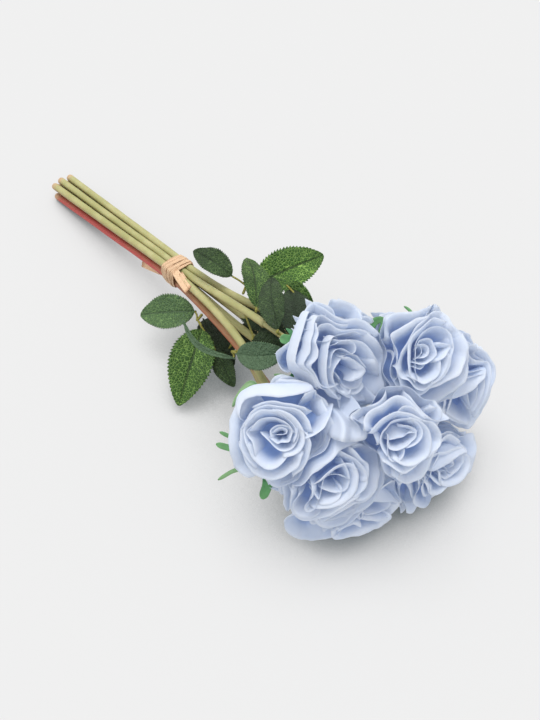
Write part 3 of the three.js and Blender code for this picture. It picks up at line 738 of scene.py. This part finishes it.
    ("open", [22,-54,71, 33,-43,73, 40,-28,77, 42,-15,80, 39,-5,82]),
    ]),
    dict(seed=6, heart=(0, 0), reach=[(0, 0.9), (90, 0.9), (180, 0.85), (270, 0.9)], petals=[
    ("bud", [10,11,86, 3,15,86, -7,16,86, -17,13,86, -21,7,86, -23,-4,86, -26,-18,87, -33,-8,86]),
    ("bud", [17,2,84, 12,-9,84, 1,-12,83, -10,-10,83, -21,-4,84]),
    ("cup", [7,-9,83, 5,-17,84, -2,-24,85, -13,-27,85, -23,-27,83]),
    ("cup", [-33,6,88, -25,12,89, -17,20,89, -8,26,89, 1,30,89, 11,31,88, 20,28,88, 25,22,88]),
    ("wide", [23,25,86, 28,13,87, 28,2,87, 26,-8,87, 21,-17,87, 15,-22,87, 7,-28,87, -4,-31,87,
        -16,-33,85, -29,-32,83]),
    ("bud", [8,30,89, 13,20,89, 16,9,88]),
    ("cup", [-36,1,87, -36,-9,87, -38,-18,85, -42,-25,81, -43,-33,77, -39,-39,76, -35,-37,80,
        -31,-31,85]),
    ("cup", [5,46,81, 17,39,83, 28,30,83, 36,21,83, 41,11,83, 42,-1,83, 38,-10,84, 32,-15,85,
        24,-19,87]),
    ("open", [21,47,77, 29,39,79, 37,30,80, 43,23,79, 44,14,81, 42,2,83]),
    ("open", [29,50,72, 43,49,64, 59,43,55, 69,32,45, 69,23,53, 66,13,61, 64,-1,66, 60,-15,69,
        50,-26,74, 35,-28,82]),
    ("open", [-15,60,63, -8,66,57, 3,68,54, 18,67,53, 31,61,54, 43,53,54, 54,45,52]),
    ("shut", [28,52,75, 18,51,79, 7,49,83, 0,46,86, -8,38,88, -18,31,89, -28,24,89, -39,18,87,
        -47,12,83, -52,6,81]),
    ("open", [-69,0,54, -66,-21,53, -62,-41,44, -55,-55,33, -57,-39,53, -59,-19,63, -57,-6,67]),
    ("cup", [-52,-16,75, -56,-25,69, -55,-39,62, -48,-49,60, -40,-52,64, -31,-50,72, -24,-41,80]),
    ("open", [-60,-12,70, -59,-29,64, -55,-45,56, -47,-56,54, -36,-58,61, -24,-53,72, -12,-47,79,
        -1,-39,84, 9,-33,86, 18,-27,86, 28,-20,86]),
    ("open", [-10,-58,68, 2,-45,78, 16,-37,80, 29,-33,78, 46,-34,69, 57,-29,62]),
    ]),
    dict(seed=17, heart=(0, 0),
         reach=[(0, 0.85), (90, 0.9), (150, 0.7), (210, 0.7), (270, 0.88)], petals=[
    ("bud", [-28,13,87, -20,3,86, 0,-7,84, 13,-8,86, 24,-7,87, 29,-1,87]),
    ("shut", [-22,22,89, -5,16,88, 12,7,87, 28,1,89, 44,-11,88]),
    ("cup", [-34,5,86, -23,-3,87, -11,-11,86, 4,-19,86, 17,-22,87, 34,-25,83, 41,-19,85,
        44,-10,89]),
    ("bud", [-37,13,86, -36,7,87, -33,3,88, -28,3,89, -28,11,89, -31,16,88]),
    ("cup", [-58,-8,72, -51,-5,77, -46,-1,82, -38,-4,85, -29,-12,87]),
    ("open", [27,33,87, 11,34,89, -1,33,90, -11,30,91, -18,27,90, -29,24,89, -38,20,87, -45,14,84,
        -51,8,81, -56,0,78, -60,-8,75, -63,-1,72, -64,-12,68, -66,0,67, -69,-3,63, -70,-11,61,
        -73,-6,58, -74,3,54]),
    ("open", [34,28,80, 60,9,72, 61,4,82, 61,-3,87, 54,-8,87, 44,-10,88]),
    ("flat", [-83,0,17, -83,-13,7, -79,-27,0, -75,-37,1, -72,-44,8, -68,-46,20, -67,-39,36,
        -65,-31,52, -58,-27,63]),
    ("flat", [-60,-13,66, -56,-25,65, -52,-30,66, -44,-30,72, -32,-29,79, -17,-31,82, 2,-35,81,
        23,-39,78, 32,-31,84]),
    ]),
    dict(seed=8, heart=(0, 0), reach=[(0, 0.82), (90, 0.85), (180, 0.85), (270, 0.85)], petals=[
    ("bud", [-13,2,85, -6,1,84, 0,-5,83, 1,-10,84, -5,-11,85, -13,-6,85]),
    ("bud", [-5,6,84, 3,-3,83, 9,-7,85, 14,-3,85]),
    ("bud", [3,11,85, 6,14,86, 11,8,85, 7,4,84, 2,3,83]),
    ("bud", [26,17,87, 27,9,87, 23,3,86, 17,-3,86, 9,-7,85, 2,-10,85]),
    ("shut", [-31,8,91, -20,9,90, -8,11,89, 2,15,90, 12,19,90, 21,22,91, 30,21,89]),
    ("wide", [33,19,85, 43,10,82, 46,-1,81, 41,-9,83, 32,-17,85, 20,-21,87, 8,-23,87, -5,-22,87,
        -14,-17,86, -18,-9,86, -19,0,86]),
    ("cup", [-34,-2,86, -29,-8,87, -21,-14,87, -15,-18,87, -14,-10,86]),
    ("open", [-29,28,84, -20,30,85, -8,31,87, 4,31,87, 16,31,86, 29,28,84]),
    ("open", [-28,29,84, -20,38,83, -11,45,81, -1,49,79, 10,49,78, 17,45,80, 23,38,82]),
    ("open", [-3,51,74, 8,52,72, 20,51,71, 31,47,70, 44,40,67]),
    ("open", [47,48,56, 57,45,61, 62,38,67, 66,24,69, 60,11,76, 61,-5,71, 59,-17,68]),
    ("cup", [-20,27,86, -28,17,87, -33,8,86, -35,-1,86, -40,-7,83]),
    ("open", [-42,-8,83, -37,-18,84, -31,-27,83, -24,-31,84, -15,-30,86, -7,-26,87, -1,-23,86]),
    ("open", [-42,-6,83, -44,-17,80, -41,-26,79, -37,-32,79, -33,-29,82, -32,-21,84]),
    ("open", [-48,-7,78, -47,-20,76, -48,-33,70, -47,-40,67, -40,-48,66, -33,-53,66, -27,-53,69,
        -25,-44,76, -26,-33,81]),
    ("open", [-61,-10,66, -55,-19,68, -51,-31,67, -46,-39,66]),
    ]),
]

for number, (rose, bloom) in enumerate(zip(ROSES, BLOOMS)):
    foot, axis, turned = rose_frame(rose)
    walls = walls_of(number)
    dice = np.random.default_rng(bloom["seed"])
    rims = []
    for radius, height in RINGS:
        first = dice.uniform(0, 6)
        shift = dice.uniform(-0.8, 0.8, 2)
        for i in range(5):
            azimuth = 2 * np.pi * (i + dice.uniform(-0.12, 0.12)) / 5 + first
            rim = rim_at(radius, height, azimuth, dice)
            place = np.degrees(np.arctan2(rim[:, 1], rim[:, 0]))
            far = reach_at(place, rose, walls, turned, bloom["reach"])[:, None]
            rim *= np.hstack([far, far, np.minimum(far, 1)])
            rim[:, :2] += shift + np.array(bloom["heart"]) * (1 - radius / HEART_SPAN)
            rims.append(("open", rim))
    rims += [(stance, np.reshape(rim, (-1, 3)) / 2) for stance, rim in bloom["petals"]]
    grids, whorl_marks = [], []
    for i, (stance, rim) in enumerate(rims):
        radius = np.hypot(rim[:, 0], rim[:, 1]).mean()
        middle = np.array(bloom["heart"]) * (1 - radius / HEART_SPAN)
        spots = petal(rim, STANCES[stance], middle, dice.uniform(0, 6))
        spots = foot + (spots * rose["size"]) @ turned.T
        # Inner petals stay further off the walls, and neighbours in the list lie apart. A free
        # petal lies over the next bloom, so only the table holds it.
        gap = max(0.1, 0.13 * (38 - radius)) + 0.1 * (i % 3)
        held = walls[:1] if stance == "free" else walls
        grids.append(pressed(spots, held, gap, PRESS_RISE * axis))
        whorl_marks.append(min(radius / WHORL_RADIUS, 1))
    piece = make_piece(f"rose_bloom_{number + 1}", grids, marks=dict(whorl=whorl_marks))
    thicken(piece, PETAL_THICKNESS)
    finish_piece(piece, f"bloom_{number + 1}", PETAL_MATERIAL)

# ---------------------------------------------------------------- calyxes
# A moulded green plastic cup under each bloom, with five narrow sepals that curl back. It is
# pushed over the end of the neck and glued to the lowest petals.

SEPAL_LENGTH = 25
SEPAL_CLEARANCE = 0.8
CALYX_THICKNESS = 0.5
SEPALS = 5

# The long sepals that show from above, by bloom: half width, how green, and the line that each
# follows from the bloom's foot, in mm.
LOBES = {
    0: [
        (4.6, 0.9, [(160.7, -14.2, 116.3), (155.5, -17, 118), (148.8, -22.2, 119.3)]),
        (3.2, 0.8, [(186.6, 23.6, 124.9), (186.2, 32, 129.3), (188.7, 36.3, 129.9),
                    (191.7, 35.5, 127.8), (192.8, 30, 124.5)]),
        (1.8, 0.4, [(181.2, -26.1, 101.3), (171, -32.1, 104.2), (162.4, -39.3, 105.6)]),
    ],
    1: [
        (1.3, 0.8, [(198.4, 55.6, 130), (194.5, 55.3, 132.1), (191.6, 54.1, 133.2)]),
    ],
    4: [
        (1.9, 0.1, [(164.2, -60.5, 116.4), (162.8, -66.4, 114.4), (163.4, -72.3, 111.1),
                    (165.6, -79, 106.6)]),
        (1.9, 0.8, [(176, -86.8, 89.3), (167.5, -92.5, 91.4)]),
        (3, 0.8, [(181.9, -88.2, 82.7), (176.8, -92.9, 83.3), (170, -97.9, 84.8)]),
        (1.8, 0.4, [(190.7, -93.9, 74.9), (188.3, -100, 73.2), (185.9, -109.7, 69.9)]),
        (4.6, 1, [(206.5, -80.4, 72.4), (210.2, -86.2, 67.4), (213.4, -93.4, 62.1)]),
    ],
}


def calyx_cup(rows=14, sides=28):
    """The cup as a grid: a profile of radius and height turned about the axis, ribbed five
    times round by 3% of its radius."""
    profile = smooth_line([(0, 0, -CALYX_LENGTH), (2.6, 0, -9.45), (3.4, 0, -8.8), (4.6, 0, -6.4),
                           (6.5, 0, -3.4), (6.8, 0, -1.2), (5.9, 0, -0.2), (0, 0, 0)], rows * 2)
    angle = np.linspace(0, 2 * np.pi, sides + 1)[None, :]
    radius = np.maximum(profile[:, 0], 0)[:, None] * (1 + 0.03 * np.cos(SEPALS * angle))
    height = np.broadcast_to(profile[:, 2][:, None], radius.shape)
    cup = np.stack([radius * np.cos(angle), radius * np.sin(angle), height], axis=-1)
    return cup[:, ::-1]


def ribbon(rows, columns):
    """The two parameters of a strip: u from -1 to 1 across it and v from 0 to 1 along it."""
    return np.meshgrid(np.linspace(-1, 1, columns), np.linspace(0, 1, rows))


def sepal(azimuth, curl, width, rows=26, columns=9):
    """One sepal: it leaves the cup below its rim and bends back as curl * v^2. Its half width
    falls as (1 - v)^0.7, its edge has five small teeth, and both edges lie lower than the
    middle by 1.1 * u^2 * (1 - v)."""
    u, v = ribbon(rows, columns)
    half = width * (1 - v) ** 0.7 * (1 + 0.16 * np.sin(5 * 2 * np.pi * v)) + 0.35
    radius = 4.4 + SEPAL_LENGTH * v * 0.85
    height = -1.5 - curl * v * v - 1.1 * u * u * (1 - v) + 0.5 * np.sin(9 * v + azimuth)
    angle = azimuth + u * half / radius + 0.12 * np.sin(4 * v + azimuth * 3)
    return np.stack([radius * np.cos(angle), radius * np.sin(angle), height], axis=-1)


def lobe(points, half_width, rows=34, columns=9):
    """A long sepal along a smooth line: its face looks along TOWARDS_EYE, both halves rise from
    the middle, and its half width grows as 0.6 + 0.4 * v, waves by a tenth, and ends as
    sqrt(1 - 0.97 * v^8)."""
    u, v = ribbon(rows, columns)
    line = smooth_line(points, rows)
    over = unit(np.cross(TOWARDS_EYE, unit(np.gradient(line, axis=0))))
    half = half_width * np.sqrt(1 - 0.97 * v ** 8) * (1 + 0.1 * np.sin(21 * v)) * (0.6 + 0.4 * v)
    spread = (u * half)[..., None] * over[:, None, :]
    rise = 0.25 * np.abs(u) * half + 0.4 * np.sin(9 * v + 2 * u)
    return line[:, None, :] + spread + rise[..., None] * TOWARDS_EYE


def calyx_material():
    finish = Finish("moulded_green_plastic")
    _, along = finish.uv()
    mottle = finish.noise(finish.object_place(), 120.0, 3.0, 0.6)
    green = finish.blend(mottle.step(0.3, 0.7), colour(46, 112, 58), colour(84, 152, 92))
    green = finish.blend(along.step(0.6, 1.0) * 0.4, green, colour(128, 178, 120))
    green = finish.blend(finish.mark("fade"), green, colour(134, 168, 118))
    return finish.surface(finish.skin(green, 0.45 + 0.25 * mottle, 0.45,
                                      finish.bump(mottle, 0.0004, 0.6)))


CALYX_MATERIAL = calyx_material()
dice = np.random.default_rng(5)

for number, rose in enumerate(ROSES):
    foot, _, turned = rose_frame(rose)
    walls = walls_of(number)
    cup = foot + (calyx_cup() * rose["size"]) @ turned.T
    sepals = []
    for i in range(SEPALS):
        azimuth = 2 * np.pi * (i + dice.uniform(-0.15, 0.15)) / SEPALS
        shape = sepal(azimuth, dice.uniform(1, 9), dice.uniform(3.2, 4.2))
        sepals.append(pressed(foot + (shape * rose["size"]) @ turned.T, walls, SEPAL_CLEARANCE))
    fade = [0] * (1 + SEPALS)
    for half_width, green, points in LOBES.get(number, []):
        sepals.append(lobe([foot, *np.array(points)], half_width))
        fade.append(1 - green)
    piece = make_piece(f"rose_calyx_{number + 1}", [cup] + sepals, marks=dict(fade=fade),
                       weld=True)
    thicken(piece, CALYX_THICKNESS)
    finish_piece(piece, f"calyx_{number + 1}", CALYX_MATERIAL)

# ---------------------------------------------------------------- leaf sprays
# Serrated rose leaves of stamped fabric on thin green stalks, one to three to a spray. The
# stamp presses a midrib, side veins and a fine net into them; they are paler underneath.

LEAF_THICKNESS = 0.4
PETIOLE_RADIUS = 0.9
STALK_RADIUS = 0.55
TEETH = 24
STALK_POINTS = 14
STALK_ROOT = 3 + PETIOLE_RADIUS  # from the middle of the stem, in mm
PLAIN = dict(bow=0, under=0)

# Each spray: the rose whose stem carries it, where its stalk forks, and its leaves: base, tip,
# half width, the way the upper face looks, how much painted shade darkens it and, where it isn't
# plain, how far it bows sideways and how much of the paler colour of its back it shows.
SPRAYS = [
    dict(rose=5, fork=(45, -17, 36), leaves=[
        dict(base=(38, -12, 36), tip=(6, -43, 26), half_width=14, face=(0.5, -0.1, 0.85),
             painted_shade=0.1, under=0.6),
        dict(base=(52, -17, 34), tip=(83, -67, 8), half_width=17.5, face=(0.35, -0.3, 0.9),
             painted_shade=0.3),
        dict(base=(71, -20, 26), tip=(99, -25, 12), half_width=8, face=(0.5, -0.5, 0.7),
             painted_shade=0.85),
    ]),
    dict(rose=4, fork=(108, -33, 72), leaves=[
        dict(base=(118, -38, 78), tip=(65, -44, 76), half_width=1.9, face=(0.46, -0.39, 0.8),
             painted_shade=0, bow=-8, under=1),
        dict(base=(117, -37, 82), tip=(144, -11, 88), half_width=10.5, face=(0.46, -0.39, 0.8),
             painted_shade=0.2, bow=2, under=1),
    ]),
    dict(rose=1, fork=(64, 17, 68), leaves=[
        dict(base=(52, 14, 70), tip=(12, 8, 70), half_width=10, face=(0.2, -0.2, 0.95),
             painted_shade=0.8),
        dict(base=(66, 21, 66), tip=(79, 82, 68), half_width=16.5, face=(0.35, -0.35, 0.85),
             painted_shade=0),
    ]),
    dict(rose=0, fork=(101, -4, 90), leaves=[
        dict(base=(99, -2, 88), tip=(52, 29, 80), half_width=11, face=(0.6, -0.1, 0.75),
             painted_shade=0.45),
    ]),
    dict(rose=0, fork=(134, -12, 103), leaves=[
        dict(base=(134, -11, 103), tip=(91, 19, 100), half_width=10, face=(0.35, -0.6, 0.7),
             painted_shade=0.85),
    ]),
    dict(rose=6, fork=(76, -13, 22), leaves=[
        dict(base=(39, -7, 24), tip=(88, -16, 20), half_width=13, face=(0.5, -0.4, 0.8),
             painted_shade=1),
        dict(base=(63, 7, 24), tip=(102, 13, 24), half_width=12, face=(0.5, -0.4, 0.8),
             painted_shade=1),
    ]),
    dict(rose=1, fork=(112, 29, 86), leaves=[
        dict(base=(92, 32, 84), tip=(119, 36, 80), half_width=7.5, face=(0.5, -0.4, 0.8),
             painted_shade=0.15),
        dict(base=(143, 2, 88), tip=(99, 31, 84), half_width=13, face=(0.5, -0.4, 0.8),
             painted_shade=1),
    ]),
    dict(rose=3, fork=(107, -12, 72), leaves=[
        dict(base=(109, -15, 72), tip=(135, -3, 76), half_width=9, face=(0.4, -0.5, 0.8),
             painted_shade=0.95),
        dict(base=(61, 13, 48), tip=(112, 16, 52), half_width=11, face=(0.46, -0.39, 0.8),
             painted_shade=1),
    ]),
]


def leaf_surface(leaf, rows=171, columns=17):
    """One leaf from its base to its tip. It arches towards its upper face by 0.09 of its length
    * sin(180 deg * v) and sideways by bow * sin(180 deg * v). With w = ((v - 0.04) / 0.96)^0.8,
    its half width is half_width * sin(180 deg * w)^0.7, less up to 12% at the edge as a saw
    with its teeth towards the tip. Both halves rise from the midrib, and the edges curl."""
    u, v = ribbon(rows, columns)
    along = np.array(leaf["tip"], float) - leaf["base"]
    reach = np.linalg.norm(along)
    forward = along / reach
    face = np.array(leaf["face"], float)
    face = unit(face - forward * (face @ forward))
    over = np.cross(forward, face)
    tooth = 1 - 0.12 * np.abs(u) ** 3 * (1 - (v * TEETH) % 1.0)
    w = np.clip((v - 0.04) / 0.96, 0, 0.9999) ** 0.8
    spread = u * (leaf["half_width"] * np.sin(np.pi * w) ** 0.7 * tooth + 0.5)
    lift = 0.09 * reach * np.sin(np.pi * v) + 0.3 * np.abs(spread)
    lift = lift + (0.5 * np.sin(11 * v + 2 * u) + 0.35 * np.sin(31 * v + 5 * u)) * np.abs(u) ** 2
    sideways = spread + leaf["bow"] * np.sin(np.pi * v)
    return (np.array(leaf["base"], float) + v[..., None] * along + sideways[..., None] * over
            + lift[..., None] * face)


def leaf_material():
    finish = Finish("stamped_leaf_fabric")
    across, along = finish.uv()
    place = finish.object_place()
    side = abs(across - 0.5) * 2.0
    midrib = 1 - side.step(0.02, 0.09)
    slant = along * 9.0 - side * 1.7 + 0.15 * finish.noise(place, 90.0, 2.0, 0.5)
    ridge = abs(slant.math("FRACT", slant) - 0.5) * 2.0
    veins = ridge.step(0.86, 0.97) * (1 - side.step(0.75, 1.0))
    cells = finish.node("ShaderNodeTexVoronoi", dict(feature="DISTANCE_TO_EDGE"),
                        {"Vector": place, "Scale": 420.0})
    mottle = finish.noise(place, 45.0, 3.0, 0.6)
    net = (1 - cells.step(0.01, 0.07)) * (0.5 + 0.5 * mottle.step(0.35, 0.6))
    green = finish.blend(mottle.step(0.3, 0.7), colour(46, 80, 26), colour(62, 102, 34))
    green = finish.blend(net * 0.85, green, colour(150, 188, 92))
    green = finish.blend(veins * 0.35, green, colour(124, 160, 80))
    # The midrib is painted near black: painted shade in its pressed groove.
    green = finish.blend(midrib * 0.75, green, colour(30, 50, 18))
    # Leaves that lie in shade, under the stems and behind the blooms, take this darker copy of the
    # green: painted shade.
    deep = finish.blend(mottle.step(0.3, 0.7), colour(27, 42, 24), colour(44, 62, 38))
    deep = finish.blend(net * 0.35, deep, colour(74, 98, 62))
    green = finish.blend(finish.mark("painted_shade"), green, deep)
    back = finish.blend(net * 0.3, colour(78, 102, 74), colour(106, 130, 100))
    tint = finish.blend(finish.mark("under"), green, back)
    tint = finish.blend(finish.mark("stalk"), tint, colour(146, 142, 66))
    relief = cells.step(0.0, 0.3) - 0.8 * midrib - 0.7 * veins
    return finish.surface(finish.skin(tint, 0.5 + 0.2 * mottle, 0.35,
                                      finish.bump(relief, 0.0006, 0.8)))


def stalk(points, radius, sides):
    """A thin round stalk through the points, closed at both ends."""
    thick = np.full(STALK_POINTS, radius)
    thick[[0, -1]] = 0.0
    return tube(smooth_line(points, STALK_POINTS), thick, sides)


LEAF_MATERIAL = leaf_material()

for number, plan in enumerate(SPRAYS):
    fork = np.array(plan["fork"], float)
    line = stem_line(ROSES[plan["rose"]], plan["rose"], 600)
    root = line[np.argmin(np.linalg.norm(line - fork, axis=1))]
    away = unit(fork - root)
    start = root + away * STALK_ROOT
    sag, crown = (0, 0, -0.4), (0, 0, 0.8)
    grids = [stalk([start, (start + fork) / 2 + sag, fork + away], PETIOLE_RADIUS, 10)]
    marks = dict(painted_shade=[0], under=[0], stalk=[1])
    for leaf in plan["leaves"]:
        leaf = PLAIN | leaf
        base = np.array(leaf["base"], float)
        on = (np.array(leaf["tip"]) - base) * 0.03
        grids.append(stalk([fork, (fork + base) / 2 + crown, base + on], STALK_RADIUS, 8))
        grids.append(leaf_surface(leaf))
        marks["painted_shade"] += [0, leaf["painted_shade"]]
        marks["under"] += [0, leaf["under"]]
        marks["stalk"] += [1, 0]
    piece = make_piece(f"rose_leaves_{number + 1}", grids, marks)
    thicken(piece, LEAF_THICKNESS)
    finish_piece(piece, f"leaf_spray_{number + 1}", LEAF_MATERIAL)

# ---------------------------------------------------------------- raffia tie
# Six turns of flat raffia round the bundle, a little askew and overlapping, with the ends
# tucked under and three loose tails. It is dry palm fibre, creased along its length.

RAFFIA_THICKNESS = 0.4

# Each turn: its place along the bundle, its tilt, how far out it lies, and its width.
TURNS = [(-6.0, 1.2, 0.35, 3.6), (-3.8, -1.6, 0.7, 3.2), (-1.4, 2.6, 1.1, 3.8),
         (1.2, -2.2, 0.75, 3.4), (3.6, 2.8, 1.2, 3.4), (5.6, 1.0, 0.5, 3.4)]
# Each tail: its foot under the turns, its tip, its half width and how far it turns, in radians.
TAILS = [((4, -6.4, 50.6), (28.3, -11.4, 52.6), 3.6, 0.3),
         ((10.5, -5, 51.8), (29, -9, 53.5), 2, -0.8),
         ((-6, -3.5, 33), (-40, -7, 20), 2.6, -0.4)]


def raffia_turn(shift, tilt, out, width, rows=9, columns=73):
    """One turn of the strip, round by the angle u * 360 deg: a rounded rectangle with corners
    of the stems' radius and more, set out by out, leaned along the bundle by
    tilt * cos(angle + 0.6), and creased across its width by 0.22 * sin(6 pi (v + 0.5))."""
    u, v = np.meshgrid(np.linspace(0, 1, columns), np.linspace(-0.5, 0.5, rows))
    angle = 2 * np.pi * u
    corner = STEM_RADIUS + 0.35 + out
    wide, high = STEM_SPACING, ROW_SPACING
    bulge = 0.22 * np.sin(6 * np.pi * (v + 0.5)) + 0.15 * np.sin(23 * u + 9 * v)
    y = wide * np.clip(1.6 * np.cos(angle), -1, 1) + (corner + bulge) * np.cos(angle)
    z = high * np.clip(1.6 * np.sin(angle), -1, 1) + (corner + bulge) * np.sin(angle)
    x = shift + tilt * np.cos(angle + 0.6) + width * v * (1 + 0.12 * np.sin(5 * u * 2 * np.pi))
    return np.stack([x, y, TIE_HEIGHT + z + x * TIE_SLOPE], axis=-1)


def raffia_tail(foot, tip, width, twist, rows=30, columns=7):
    """A loose end from its foot to its tip, with its face to the eye: it sags by sin(180 deg *
    v), widens from 0.8 of its half width to the whole, and turns by twist * v."""
    u, v = ribbon(rows, columns)
    along = np.subtract(tip, foot)
    over = unit(np.cross(TOWARDS_EYE, along))
    up = np.cross(unit(along), over)
    turn = twist * v
    half = width * (0.8 + 0.2 * v)
    spot = foot + v[..., None] * along
    spot = spot + (u * half * np.cos(turn))[..., None] * over
    spot = spot + (u * half * np.sin(turn) + 0.3 * np.sin(7 * u + 3 * v))[..., None] * up
    return spot - np.sin(np.pi * v)[..., None] * UP


def raffia_material():
    finish = Finish("dry_raffia")
    fibre = finish.noise(finish.stretched(finish.map_place(), (6.0, 46.0, 1.0)), 1.0, 4.0, 0.65)
    blotch = finish.noise(finish.object_place(), 160.0, 2.0, 0.5)
    tan = finish.blend(fibre.step(0.3, 0.7), colour(206, 166, 128), colour(246, 216, 180))
    tan = finish.blend(blotch.step(0.4, 0.8) * 0.4, tan, colour(234, 190, 160))
    _, along = finish.uv()
    edge = (abs(along - 0.5) * 2.0).step(0.72, 1.0)
    tan = finish.blend(edge * 0.7, tan, colour(170, 122, 88))
    return finish.surface(finish.skin(tan, 0.55 + 0.2 * fibre, 0.35,
                                      finish.bump(fibre, 0.0006, 0.8)))


grids = [raffia_turn(*turn) for turn in TURNS] + [raffia_tail(*tail) for tail in TAILS]
piece = make_piece("raffia_wraps", grids)
thicken(piece, RAFFIA_THICKNESS)
finish_piece(piece, "raffia_tie", raffia_material())

# ---------------------------------------------------------------- studio
# A plain pale table, an even soft light from all round with a broad one above, and the camera
# where the bunch was photographed from.

FLOOR = 6  # half its side, in metres
TABLE_GREY = (0.16, 0.16, 0.16, 1)
EYE = np.array([618, -430, 918.5])  # the camera, in the layout's mm
RIGHT_OF_EYE = np.array([0.648, 0.762, 0.0])

floor_mesh = bpy.data.meshes.new("table_top")
floor_mesh.from_pydata([(-FLOOR, -FLOOR, 0), (FLOOR, -FLOOR, 0), (FLOOR, FLOOR, 0),
                        (-FLOOR, FLOOR, 0)], [], [(0, 1, 2, 3)])
floor = bpy.data.objects.new("table_top", floor_mesh)
bpy.context.scene.collection.objects.link(floor)
finish = Finish("pale_table")
# The table glows evenly, and less where little of the sky reaches it, under the bunch: a painted
# shadow in its glow.
open_sky = finish.node("ShaderNodeAmbientOcclusion", dict(samples=12), {"Distance": 0.2},
                       output=1)
glow = finish.blend(open_sky.step(0.22, 0.78), colour(90, 100, 102), colour(255, 255, 255))
floor_mesh.materials.append(finish.surface(finish.node("ShaderNodeBsdfPrincipled", sockets={
    "Base Color": TABLE_GREY, "Roughness": 0.9, "Specular IOR Level": 0.0,
    "Emission Color": glow, "Emission Strength": 0.635})))

scene = bpy.context.scene
scene.view_settings.view_transform = "Standard"
world = bpy.data.worlds.new("soft_room")
world.use_nodes = True
sky = world.node_tree.nodes["Background"].inputs
sky["Color"].default_value = (1, 1, 1, 1)
sky["Strength"].default_value = 0.98
scene.world = world

lamp = bpy.data.lights.new("broad_light", "SUN")
lamp.energy = 1.65
lamp.angle = math.radians(36)
lamp_holder = bpy.data.objects.new("broad_light", lamp)
lamp_holder.rotation_euler = (math.radians(-4), math.radians(-13), 0)
scene.collection.objects.link(lamp_holder)

camera = bpy.data.cameras.new("camera")
camera.lens = 73
camera.sensor_width = 36
camera.clip_end = 20
holder = bpy.data.objects.new("camera", camera)
back = unit(TOWARDS_EYE)
right = unit(RIGHT_OF_EYE - back * (RIGHT_OF_EYE @ back))
place = (EYE + TIE_IN_FRAME) / 1000
matrix = np.eye(4)
matrix[:3] = np.stack([right, np.cross(back, right), back, place], axis=1)
holder.matrix_world = Matrix(matrix.tolist())
scene.collection.objects.link(holder)
scene.camera = holder
